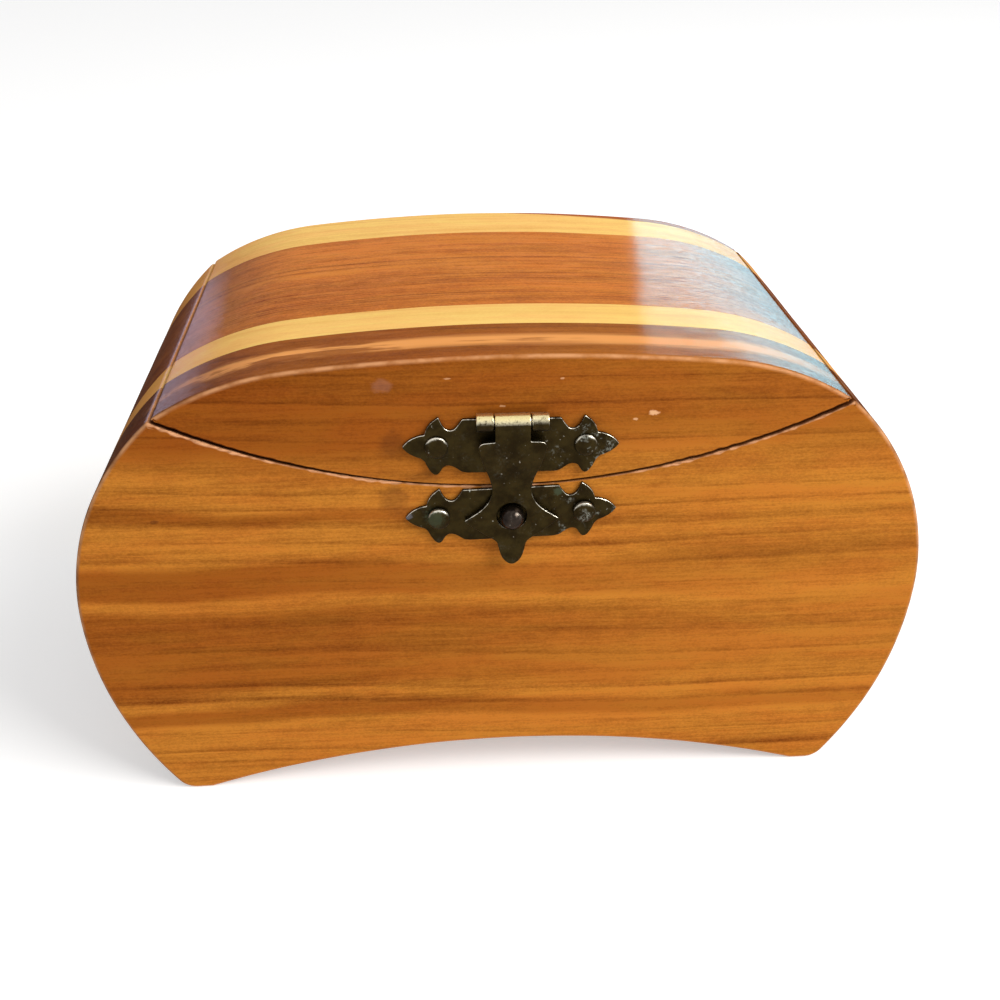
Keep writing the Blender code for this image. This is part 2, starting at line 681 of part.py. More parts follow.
def build_lid(finishes, pivot, origin):
    """The same four layers above the saw cut, carried by the hinges."""
    outline, eased = lid_outline()
    y = FRONT_FACE_Y - origin.y
    z = -origin.z
    front = board(
        "lid_front_board", outline, eased, FRONT_BOARD_THICKNESS, True, False, finishes["front"], pivot, (0, y, z)
    )
    y += FRONT_BOARD_THICKNESS + GLUE_LINE
    board("lid_stripe_strip", outline, 0, STRIPE_THICKNESS, False, False, finishes["pale"], pivot, (0, y, z))
    y += STRIPE_THICKNESS + GLUE_LINE
    board("lid_core_block", outline, 0, CORE_THICKNESS, False, False, finishes["core"], pivot, (0, y, z))
    y += CORE_THICKNESS + GLUE_LINE
    back = board(
        "lid_back_board", outline, eased, BACK_BOARD_THICKNESS, False, True, finishes["back"], pivot, (0, y, z)
    )
    return front, back


def build_latch(finish, front, lid_front, pivot, origin):
    """Both stamped plates, the hasp, its pin, the knob and the nails that hold the plates."""
    make_latch_plate(finish, pivot, origin)
    stamped_plate("catch_plate", KNOB_Z, None, finish, None, Vector())
    knob_hole = KNOB_SHANK_RADIUS + HOLE_CLEARANCE
    plate = bpy.data.objects["catch_plate"]
    drill(plate, "catch_plate_knob_drill", [(0.0, 0.0)], knob_hole, -CUT_OVERRUN, LATCH_SHEET + CUT_OVERRUN)
    make_knob(finish)
    axis = Vector((LATCH_X, LATCH_AXIS_Y, LATCH_AXIS_Z)) - origin
    half = HASP_KNUCKLE_WIDTH / 2 + KNUCKLE_GAP + LATCH_KNUCKLE_WIDTH
    make_pin("hasp_pin", LATCH_PIN_RADIUS, half, finish, pivot, axis)
    hasp_pivot = add_pivot("hasp_pivot", axis, pivot)
    make_hasp(finish, hasp_pivot)

    head_y = FRONT_FACE_Y - 2 * SEAT_GAP - LATCH_SHEET
    nail_hole = NAIL_SHANK_RADIUS + HOLE_CLEARANCE
    depth = NAIL_LENGTH + HOLE_CLEARANCE
    sizes = (NAIL_HEAD_RADIUS, NAIL_HEAD_HEIGHT, NAIL_SHANK_RADIUS, NAIL_LENGTH, NAIL_POINT_LENGTH, 1)
    rows = (
        ("catch", KNOB_Z, front, None, Vector()),
        ("latch", LATCH_AXIS_Z - LATCH_AXIS_RISE, lid_front, pivot, origin),
    )
    for word, z, wood, parent, offset in rows:
        centres = []
        for side, hand in ((-1, "left"), (1, "right")):
            x = LATCH_X + side * LATCH_NAIL_SPACING / 2
            nail(f"{word}_nail_{hand}", *sizes, finish, parent, Vector((x, head_y, z)) - offset)
            centres.append((x, z))
        drill(wood, word + "_wood_drill", centres, nail_hole, -CUT_OVERRUN, depth)
    shank_depth = KNOB_SHANK_LENGTH + HOLE_CLEARANCE
    drill(front, "knob_wood_drill", [(LATCH_X, KNOB_Z)], knob_hole, -CUT_OVERRUN, shank_depth)


def build_hinges(finish, back, lid_back, pivot, origin):
    """Two butt hinges: two knuckles on the body's leaf, one on the lid's leaf, a pin and nails."""
    third = (HINGE_WIDTH - 2 * KNUCKLE_GAP) / 3
    outer = HINGE_WIDTH / 2
    body_spans = [(-outer, -outer + third), (outer - third, outer)]
    lid_spans = [(-third / 2, third / 2)]
    head_y = BACK_FACE_Y + 2 * SEAT_GAP + HINGE_SHEET
    sizes = (
        HINGE_NAIL_HEAD_RADIUS,
        HINGE_NAIL_HEAD_HEIGHT,
        HINGE_NAIL_SHANK_RADIUS,
        HINGE_NAIL_LENGTH,
        HINGE_NAIL_POINT_LENGTH,
        -1,
    )
    leaves = (
        ("body", -1, body_spans, back, BACK_BOARD_THICKNESS, None, Vector()),
        ("lid", 1, lid_spans, lid_back, BACK_BOARD_THICKNESS, pivot, origin),
    )
    nail_hole = HINGE_NAIL_SHANK_RADIUS + HOLE_CLEARANCE
    for hand, side in (("left", -1), ("right", 1)):
        x = side * HINGE_SPACING / 2
        place = (x, HINGE_AXIS_Y, HINGE_AXIS_Z)
        half_pin = HINGE_WIDTH / 2 + HINGE_PIN_OVERHANG
        make_pin(f"hinge_{hand}_pin", HINGE_PIN_RADIUS, half_pin, finish, None, place)
        for word, way, spans, wood, thickness, parent, offset in leaves:
            name = f"hinge_{hand}_{word}"
            make_leaf(name + "_leaf", x, way, spans, finish, parent, offset)
            z = HINGE_AXIS_Z + way * hinge_nail_rise()
            centres = []
            for number, step in ((1, -1), (2, 1)):
                nail_x = x + step * HINGE_NAIL_SPACING / 2
                place = Vector((nail_x, head_y, z)) - offset
                nail(f"{name}_nail_{number}", *sizes, finish, parent, place)
                centres.append((nail_x, z))
            depth = HINGE_NAIL_LENGTH + HOLE_CLEARANCE
            drill(wood, name + "_wood_drill", centres, nail_hole, thickness - depth, thickness + CUT_OVERRUN)


def main():
    clear_scene()
    finishes = {
        "front": material("front cedar", (0.50, 0.17, 0.022), 0.30),
        "pale": material("pale sapwood", (0.91, 0.58, 0.20), 0.30),
        "core": material("red cedar", (0.47, 0.12, 0.022), 0.30),
        "back": material("back sapwood", (0.88, 0.53, 0.17), 0.30),
    }
    dark_brass = material("antique brass", (0.075, 0.052, 0.016), 0.42, 0.9)
    hinge_brass = material("hinge brass", (0.30, 0.19, 0.05), 0.35, 1.0)
    origin = Vector((0.0, HINGE_AXIS_Y, HINGE_AXIS_Z))
    pivot = add_pivot("lid_pivot", origin)
    front, back = build_body(finishes)
    lid_front, lid_back = build_lid(finishes, pivot, origin)
    build_latch(dark_brass, front, lid_front, pivot, origin)
    build_hinges(hinge_brass, back, lid_back, pivot, origin)


main()
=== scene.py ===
# %% [markdown]
# # A band-sawn cedar keepsake box
# The box is a block of glued cedar boards. Its outline was sawn through the whole block, a
# lens-shaped lid was sawn off along a curved cut, and a small stamped hasp holds it shut. This
# script dresses the box's working model, so every piece keeps the place that the model gives it.
# The pieces are loaded first.

# %% Load the model
import math

import bmesh
import bpy
import numpy as np
from mathutils import Matrix, Vector, noise


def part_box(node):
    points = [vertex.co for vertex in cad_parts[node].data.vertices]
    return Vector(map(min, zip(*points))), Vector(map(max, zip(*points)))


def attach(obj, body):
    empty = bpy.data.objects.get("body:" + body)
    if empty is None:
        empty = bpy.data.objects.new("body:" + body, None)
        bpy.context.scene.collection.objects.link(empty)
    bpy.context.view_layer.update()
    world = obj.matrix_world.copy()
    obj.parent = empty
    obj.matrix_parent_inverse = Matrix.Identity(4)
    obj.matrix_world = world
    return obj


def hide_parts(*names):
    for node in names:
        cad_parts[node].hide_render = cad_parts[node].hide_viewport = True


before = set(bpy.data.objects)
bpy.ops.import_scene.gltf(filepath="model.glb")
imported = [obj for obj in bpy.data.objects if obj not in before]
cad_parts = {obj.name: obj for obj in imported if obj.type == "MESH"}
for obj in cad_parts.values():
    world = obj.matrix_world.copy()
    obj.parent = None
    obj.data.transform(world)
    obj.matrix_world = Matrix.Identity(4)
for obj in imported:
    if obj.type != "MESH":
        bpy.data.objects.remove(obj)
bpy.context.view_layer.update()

MM = 0.001

# %% [markdown]
# ## Camera
# The photograph was taken a forearm away, a little left of the middle and half a right angle above
# the table. The camera's place was worked out from the straight glue lines and the outline of the
# front board. It could be aimed with a constraint, but a fixed place and three angles say the same
# in one line.

# %% Camera
CAMERA_PLACE = Vector((-14.9, -220.95, 163.8)) * MM
CAMERA_PITCH = math.radians(29.353)
CAMERA_YAW = math.radians(4.306)
CAMERA_ROLL = math.radians(0.091)
CAMERA_LENS = 43.2
CLIP_NEAR = 10 * MM


def photo_camera():
    camera = bpy.data.objects.new("photo_camera", bpy.data.cameras.new("photo_camera"))
    bpy.context.scene.collection.objects.link(camera)
    level, down = math.cos(CAMERA_PITCH), -math.sin(CAMERA_PITCH)
    ahead = Vector((math.sin(CAMERA_YAW) * level, math.cos(CAMERA_YAW) * level, down))
    right = Vector((math.cos(CAMERA_YAW), -math.sin(CAMERA_YAW), 0.0))
    up = right.cross(ahead)
    turned_right = right * math.cos(CAMERA_ROLL) + up * math.sin(CAMERA_ROLL)
    turned_up = up * math.cos(CAMERA_ROLL) - right * math.sin(CAMERA_ROLL)
    turn = Matrix((turned_right, turned_up, -ahead)).transposed()
    camera.matrix_world = Matrix.Translation(CAMERA_PLACE) @ turn.to_4x4()
    camera.data.lens = CAMERA_LENS
    camera.data.clip_start = CLIP_NEAR
    camera.data.dof.use_dof = False
    bpy.context.scene.camera = camera
    bpy.context.scene.view_settings.view_transform = "Standard"
    return camera


print("camera at", tuple(round(value, 4) for value in photo_camera().location))

# %% [markdown]
# ## Node trees
# Every finish below is a small tree of shader nodes, and some meshes come from Geometry Nodes.
# Wiring nodes one by one would bury what a finish does. So the output of a node is kept as a Value,
# which is added, multiplied and stepped like a number, and every such sum adds its node to the
# tree. A value that is the same all over a surface is typed into the shader itself.


# %% Helpers for node trees
class Value:
    """An output of a node."""

    def __init__(self, tree, socket):
        self.tree, self.socket, self.node = tree, socket, socket.node

    def other(self, name):
        """Another output of the same node."""
        return Value(self.tree, self.node.outputs[name])

    def math(self, operation, second=0.0, third=0.0, clamp=False):
        settings = {"operation": operation, "use_clamp": clamp}
        return self.tree.node("ShaderNodeMath", settings, i0=self, i1=second, i2=third)

    def __add__(self, second):
        return self.math("ADD", second)

    def __sub__(self, second):
        return self.math("SUBTRACT", second)

    def __mul__(self, second):
        return self.math("MULTIPLY", second)

    def step(self, low, high, start=0.0, end=1.0, kind="SMOOTHSTEP"):
        """A soft step from start to end while the value goes from low to high."""
        settings = {"interpolation_type": kind}
        limits = {"i1": low, "i2": high, "i3": start, "i4": end}
        return self.tree.node("ShaderNodeMapRange", settings, Value=self, **limits)

    def line(self, low, high, start, end):
        """The same with a straight slope."""
        return self.step(low, high, start, end, "LINEAR")

    def parts(self):
        """The x, y and z of a vector."""
        outputs = self.tree.node("ShaderNodeSeparateXYZ", Vector=self).node.outputs
        return [Value(self.tree, output) for output in outputs]

    def scaled(self, by):
        return self.tree.node("ShaderNodeVectorMath", {"operation": "MULTIPLY"}, i0=self, i1=by)

    def noise(self, detail=2.0, roughness=0.5, scale=1.0):
        """Noise at the place that this vector gives."""
        values = {"Scale": scale, "Detail": detail, "Roughness": roughness}
        return self.tree.node("ShaderNodeTexNoise", Vector=self, **values)

    def grain(self, along, across, detail=2.0, roughness=0.5):
        """Noise drawn out along x, as fibres are. The two scales are counts per millimetre."""
        return self.scaled((along, across, across)).noise(detail, roughness)


class Tree:
    """Adds nodes to a tree. An input is given a number, a colour or a Value."""

    def __init__(self, tree):
        self.tree = tree

    def node(self, kind, settings=None, out=0, **inputs):
        made = self.tree.nodes.new(kind)
        for key, value in (settings or {}).items():
            setattr(made, key, value)
        self.fill(made, **inputs)
        return Value(self, made.outputs[out])

    def fill(self, made, **inputs):
        """Sets inputs of a node by their names with _ for a space, or by number as in i0."""
        for key, value in inputs.items():
            numbered = key[0] == "i" and key[1:].isdigit()
            socket = made.inputs[int(key[1:]) if numbered else key.replace("_", " ")]
            if isinstance(value, Value):
                self.tree.links.new(value.socket, socket)
            else:
                socket.default_value = value

    def mix(self, share, first, second, kind="MIX"):
        settings = {"data_type": "RGBA", "blend_type": kind, "clamp_factor": True}
        return self.node("ShaderNodeMix", settings, 2, i0=share, i6=first, i7=second)

    def mark(self, name):
        """A value that the mesh keeps at each of its points."""
        return self.node("ShaderNodeAttribute", {"attribute_name": name}, 2)


def colour(red, green, blue):
    """A colour as it looks on a screen, 0 to 255, turned into the values that shaders use."""
    linear = []
    for value in (red, green, blue):
        share = value / 255
        linear.append(share / 12.92 if share <= 0.04045 else ((share + 0.055) / 1.055) ** 2.4)
    return (*linear, 1.0)


def new_finish(name):
    """A new material with its node tree and its shader."""
    finish = bpy.data.materials.new(name)
    finish.use_nodes = True
    return finish, Tree(finish.node_tree), finish.node_tree.nodes["Principled BSDF"]


print("a middle grey of 128 is", round(colour(128, 128, 128)[0], 3), "to a shader")

# %% [markdown]
# ## Floor and world
# The photograph has a plain white ground. A bright lamp could make it so, but it would also bleach
# the wood. So the floor and the world are white only to the camera and in reflections, and the
# light that reaches the wood from them stays at a plain level.

# %% Floor and world
WHITE = (1.0, 1.0, 1.0, 1.0)
FLOOR_PAINT = (0.86, 0.86, 0.86, 1.0)
FLOOR_SIZE = 4.0
FLOOR_ROUGHNESS = 0.9
FLOOR_GLOW = 0.42
AMBIENT = 0.45


def white_floor():
    bpy.ops.mesh.primitive_plane_add(size=FLOOR_SIZE)
    floor = bpy.context.object
    floor.name = "floor"
    finish, tree, shader = new_finish("white floor")
    seen = tree.node("ShaderNodeLightPath")
    tree.fill(shader, Base_Color=FLOOR_PAINT, Roughness=FLOOR_ROUGHNESS, Emission_Color=WHITE)
    tree.fill(shader, Emission_Strength=seen * FLOOR_GLOW)
    floor.data.materials.append(finish)
    return floor


def studio_world():
    world = bpy.data.worlds.new("studio")
    world.use_nodes = True
    bpy.context.scene.world = world
    tree = Tree(world.node_tree)
    back = world.node_tree.nodes["Background"]
    path = seen = tree.node("ShaderNodeLightPath")
    for ray in ("Is Glossy Ray", "Is Transmission Ray"):
        seen = seen.math("MAXIMUM", path.other(ray))
    tree.fill(back, Color=WHITE, Strength=seen.line(0.0, 1.0, AMBIENT, 1.0))
    return world


floor = white_floor()
print("floor of", FLOOR_SIZE, "m and", studio_world().name, "world")

# %% [markdown]
# ## Lamps
# A broad softbox stands in front of the box on the right, and a weaker lamp fills its shaded back.
# The varnish shows two things of the room: a window on the right end of the lid and a pale wall on
# the left. They could be real panels, but those would light the whole box, so each is a lamp that
# only shows in reflections.

# %% Lamps and panes
LAMP_TARGET = (0.0, 0.0, 0.04)
PANE_DISTANCE = 0.55


def lamp(name, place, target, size, power, tint=(1.0, 1.0, 1.0)):
    light = bpy.data.lights.new(name, "AREA")
    light.shape = "RECTANGLE"
    light.size, light.size_y = size
    light.energy = power
    light.color = tint
    holder = bpy.data.objects.new(name, light)
    bpy.context.scene.collection.objects.link(holder)
    holder.location = place
    holder.rotation_euler = (Vector(target) - Vector(place)).to_track_quat("-Z", "Y").to_euler()
    return holder


def pane(name, azimuth, height, size, glow, tint, lean=0.0, foot=1.0):
    """A pane that only shows in the varnish. Azimuth counts from behind the box to the right.

    Lean turns it in its own plane, and foot is how bright its lower edge is beside its upper one.
    """
    direction = math.radians(azimuth)
    place = (math.sin(direction) * PANE_DISTANCE, math.cos(direction) * PANE_DISTANCE, height)
    card = lamp(name, place, (0.0, 0.0, height), size, glow * math.pi * size[0] * size[1], tint)
    turn = card.rotation_euler.to_matrix() @ Matrix.Rotation(math.radians(lean), 3, "Z")
    card.rotation_euler = turn.to_euler()
    card.data.use_nodes = True
    tree = Tree(card.data.node_tree)
    up = tree.node("ShaderNodeNewGeometry").other("Parametric").parts()[1]
    emission = card.data.node_tree.nodes["Emission"]
    tree.fill(emission, Strength=up.line(0.0, 1.0, foot, 1.0))
    card.visible_diffuse = False
    card.visible_camera = False
    return card


lamp("softbox", (0.85, -0.55, 0.90), LAMP_TARGET, (0.8, 0.6), power=15.0, tint=(1.0, 0.985, 0.96))
fill = lamp("fill behind", (-0.45, 1.15, 0.30), LAMP_TARGET, (0.8, 0.5), power=5.5)
fill.visible_glossy = False
window = pane(
    "window", azimuth=32.0, height=0.10, size=(0.36, 0.29), glow=22.0, tint=(0.28, 0.82, 1.0),
    lean=14.0, foot=0.15,
)
pale_wall = pane(
    "pale_wall", azimuth=-39.5, height=0.05, size=(0.28, 0.22), glow=3.7, tint=(0.72, 0.68, 0.98)
)

# %% [markdown]
# ## The shapes of the boards
# All boards of the block share one outline, because the saw went through them together: two circles
# for each side, rounded toes, an arch below, and a circle for the cut that frees the lid. The model
# has these as coarse facets. Here the same circles are drawn with a point every half millimetre, so
# that the varnish reflects as smoothly as on the real box. The depths come from the model's pieces.

# %% Sizes of the outline
WIDEST_HEIGHT = 41.0 * MM
LID_CORNER = (59.0 * MM, 79.0 * MM)
DOME_RISE = 9.9 * MM
CREST_RADIUS = 343.0 * MM
CREST_WIDTH_SHARE = 0.62
FOOT_WIDTH = 124.7 * MM
TOE_RADIUS = 4.0 * MM
FOOT_LAND = 3.0 * MM
ARCH_RISE = 8.6 * MM
SEAM_SAG = 14.0 * MM
SEAM_GAP_MIDDLE = 0.3 * MM
SEAM_GAP_ENDS = 0.7 * MM
SIDE_WALL = 8.0 * MM
RIM_WIDTH = 7.5 * MM
CAVITY_FLOOR = 17.0 * MM
CAVITY_CORNER = 8.0 * MM
POINT_SPACING = 0.5 * MM
SEAM_SPACING = 0.35 * MM
FLOOR_POINTS = 60
HALF_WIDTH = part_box("core_block")[1].x
print("half width of the block", round(HALF_WIDTH / MM, 2), "mm")


# %% Circles and runs of points
def chord_radius(half_chord, rise):
    return (half_chord**2 + rise**2) / (2 * rise)


def arc(centre, radius, start, end, spacing=POINT_SPACING):
    angles = np.linspace(start, end, max(2, round(abs(end - start) * radius / spacing)) + 1)
    return np.array(centre) + radius * np.column_stack((np.cos(angles), np.sin(angles)))


def angle_to(centre, point):
    return math.atan2(point[1] - centre[1], point[0] - centre[0])


def crossing(first, first_radius, second, second_radius, near):
    """The crossing of two circles that lies nearer to a given point."""
    span = Vector(second) - Vector(first)
    along = (first_radius**2 - second_radius**2 + span.length_squared) / (2 * span.length)
    aside = math.sqrt(first_radius**2 - along**2)
    foot = Vector(first) + span.normalized() * along
    side = Vector((-span.y, span.x)).normalized() * aside
    return min((foot + side, foot - side), key=lambda point: (point - Vector(near)).length)


def mirrored(points):
    return points[::-1] * (-1, 1)


def seam_circle(side):
    """Centre and radius of the saw cut's upper (+1) or lower (-1) face."""
    low = LID_CORNER[1] - SEAM_SAG + side * SEAM_GAP_MIDDLE / 2
    high = LID_CORNER[1] + side * SEAM_GAP_ENDS / 2
    radius = chord_radius(LID_CORNER[0], high - low)
    return (0.0, low + radius), radius


def upper_side(widest, corner):
    radius = chord_radius(corner[1] - WIDEST_HEIGHT, widest - corner[0])
    return (widest - radius, WIDEST_HEIGHT), radius


def lower_side(wall=0.0):
    radius = chord_radius(WIDEST_HEIGHT, HALF_WIDTH - FOOT_WIDTH / 2)
    return (HALF_WIDTH - radius, WIDEST_HEIGHT), radius - wall


def side_down_to(upper, start, lower, turn_radius, turn_height):
    """A side from a start over its two circles and round the turn at its foot, with its middle."""
    (upper_centre, upper_radius), (lower_centre, lower_radius) = upper, lower
    drop = lower_centre[1] - turn_height
    reach = math.sqrt((lower_radius - turn_radius) ** 2 - drop**2)
    turn = (lower_centre[0] + reach, turn_height)
    turn_angle = angle_to(lower_centre, turn)
    run = np.concatenate((
        arc(upper_centre, upper_radius, angle_to(upper_centre, start), 0.0),
        arc(lower_centre, lower_radius, 0.0, turn_angle)[1:],
        arc(turn, turn_radius, turn_angle, -math.pi / 2)[1:],
    ))
    return run, turn


print("the saw cut is an arc of", round(seam_circle(-1)[1] / MM, 1), "mm")


# %% Outlines of the body, its cavity and the lid
def body_rim():
    """The whole outside of the body, from the right end of the saw cut round to the left end."""
    upper = upper_side(HALF_WIDTH, LID_CORNER)
    corner = crossing(*upper, *seam_circle(-1), LID_CORNER)
    side, toe = side_down_to(upper, corner, lower_side(), TOE_RADIUS, TOE_RADIUS)
    half_span = toe[0] - FOOT_LAND
    arch_radius = chord_radius(half_span, ARCH_RISE)
    arch = (0.0, ARCH_RISE - arch_radius)
    half_arch = arc(arch, arch_radius, angle_to(arch, (half_span, 0.0)), math.pi / 2)
    right = np.concatenate((side, half_arch))
    return np.concatenate((right, mirrored(right)[1:]))


def seam(side, left, right):
    centre, radius = seam_circle(side)
    return arc(centre, radius, angle_to(centre, left), angle_to(centre, right), SEAM_SPACING)


def cavity_run():
    """The wall and floor of the cavity, from its right mouth round to its left mouth."""
    centre, radius = seam_circle(-1)
    mouth_x = LID_CORNER[0] - RIM_WIDTH
    mouth = (mouth_x, centre[1] - math.sqrt(radius**2 - mouth_x**2))
    upper = upper_side(HALF_WIDTH - SIDE_WALL, mouth)
    turn_height = CAVITY_FLOOR + CAVITY_CORNER
    right, _ = side_down_to(upper, mouth, lower_side(SIDE_WALL), CAVITY_CORNER, turn_height)
    level = np.linspace(right[-1], right[-1] * (-1, 1), FLOOR_POINTS)[1:-1]
    return np.concatenate((right, level, mirrored(right)))


def lid_rim():
    """The dome from the right end of the saw cut over to the left end."""
    crest_x = CREST_WIDTH_SHARE * LID_CORNER[0]
    crest = (0.0, LID_CORNER[1] + DOME_RISE - CREST_RADIUS)
    crest_end = Vector((crest_x, crest[1] + math.sqrt(CREST_RADIUS**2 - crest_x**2)))
    inward = (Vector(crest) - crest_end).normalized()
    reach = Vector(LID_CORNER) - crest_end
    radius = reach.length_squared / (2 * inward.dot(reach))
    shoulder = tuple(crest_end + inward * radius)
    corner = crossing(shoulder, radius, *seam_circle(1), LID_CORNER)
    end = arc(shoulder, radius, angle_to(shoulder, corner), angle_to(shoulder, crest_end))
    start = angle_to(crest, crest_end)
    top = arc(crest, CREST_RADIUS, start, math.pi - start)
    return np.concatenate((end, top[1:-1], mirrored(end)))


print("points round the body", len(body_rim()), "and over the lid", len(lid_rim()))

# %% [markdown]
# ## Worn edges
# A board could be extruded and beveled, but its edges differ along the way: the outer corners are
# eased by sandpaper, the sawn edges are nearly sharp and chipped in places, and glued edges are
# square. So the ease of an edge is worked out for each of its points, from noise that depends only
# on the place. The body's sawn edge is torn, and the lid's is rubbed round towards its ends.

# %% How far each point of an edge is eased
EDGE_EASE = 0.8 * MM
SEAM_EASE = 0.12 * MM
CHIP_EASE = 0.5 * MM
RUBBED_EASE = 0.28 * MM
EASE_BLEND = 1.6 * MM
UNEVEN_LENGTH = 14 * MM
UNEVEN_DEPTH = 0.05 * MM
LONGEST_MITRE = 1.5
LATCH_SIDES = (-18, 8)
TORN_FROM = 0.42
# Noise that gives directions differs from run to run unless its seed is set.
NOISE_SEED = 4
noise.seed_set(NOISE_SEED)


def inward_normals(loop):
    """Unit directions into a loop that runs clockwise, lengthened where it turns a corner."""
    ahead = np.roll(loop, -1, axis=0) - loop
    ahead /= np.linalg.norm(ahead, axis=1, keepdims=True)
    normal = np.column_stack((ahead[:, 1], -ahead[:, 0]))
    both = normal + np.roll(normal, 1, axis=0)
    length = np.linalg.norm(both, axis=1, keepdims=True)
    return both / length * np.minimum(2.0 / length, LONGEST_MITRE)


def blurred(values, reach, spacing=POINT_SPACING):
    """Averages each value of a closed loop with its neighbours within a reach."""
    span = max(1, round(reach / spacing))
    kernel = np.hanning(2 * span + 3)[1:-1]
    wrapped = np.concatenate((values[-span:], values, values[:span]))
    return np.convolve(wrapped, kernel / kernel.sum(), "valid")


def softened(loop, reach, spacing=POINT_SPACING):
    """Rounds the corners of a loop."""
    return np.column_stack([blurred(loop[:, k], reach, spacing) for k in range(2)])


def rough(x, y, seed):
    """Smooth noise from 0 to 1 at a place in millimetres."""
    return 0.5 + 0.5 * noise.noise(Vector((x, y, seed)))


def torn_ease(x, grit):
    """The body's sawn edge is broken out in runs, more of them on the left of the latch."""
    more = 0.2 if x < LATCH_SIDES[0] else -0.12 if x > LATCH_SIDES[1] else 0.0
    bite = max(0.0, rough(x * 0.05, 0.3, 11.0) + more - TORN_FROM)
    return SEAM_EASE + (CHIP_EASE - SEAM_EASE) * min(1.0, bite * grit * 7.0)


def rubbed_ease(x, grit):
    """The lid's sawn edge is rounder the farther it is from the latch."""
    away = min(1.0, max(0.0, (abs(x + 6) - 14) / 22))
    return SEAM_EASE + RUBBED_EASE * away * (0.5 + 1.5 * grit)


def sawn_eases(loop, torn):
    ease = torn_ease if torn else rubbed_ease
    return np.array([ease(x, rough(x * 0.7, z * 0.5, 16.0) ** 2) for x, z in loop / MM])


def wander(points):
    """Slow hand-sanded unevenness: a smooth shift that depends only on the place."""
    shift = np.empty_like(points)
    for i, place in enumerate(points / UNEVEN_LENGTH):
        shift[i] = noise.noise_vector(Vector(place))
    return points + shift * UNEVEN_DEPTH


print("a sawn edge is eased by", SEAM_EASE / MM, "to", CHIP_EASE / MM, "mm")

# %% [markdown]
# ## Cutting a board
# Each board is a stack of rings. Every ring is the outline drawn in by the ease of its own depth,
# and each of its points also keeps how worn and highlighted, how bare and how freshly torn it is,
# for the finish to read. The two ends are closed with flat faces, which are then cut into small
# panels.

# %% Rings of a board
CORNER_EASE = 0.5 * MM
CORNER_WORN = 0.55 * MM
# How near to where the saw cut meets the outside a point turns dark and bare: painted kerf shade.
CORNER_KERF_SHADE = 0.4
CORNER_CHIP = 0.8
EASE_STEPS = 5
SUPPORT = 0.12 * MM
RING_SPACING = 2.5 * MM
RING_KINDS = {"outside": 0, "seam": 1, "cavity": 2}
CAVITY_BARE = 0.5
CHIP_AT_FACE = 0.4
CHIP_AT_END = 0.3


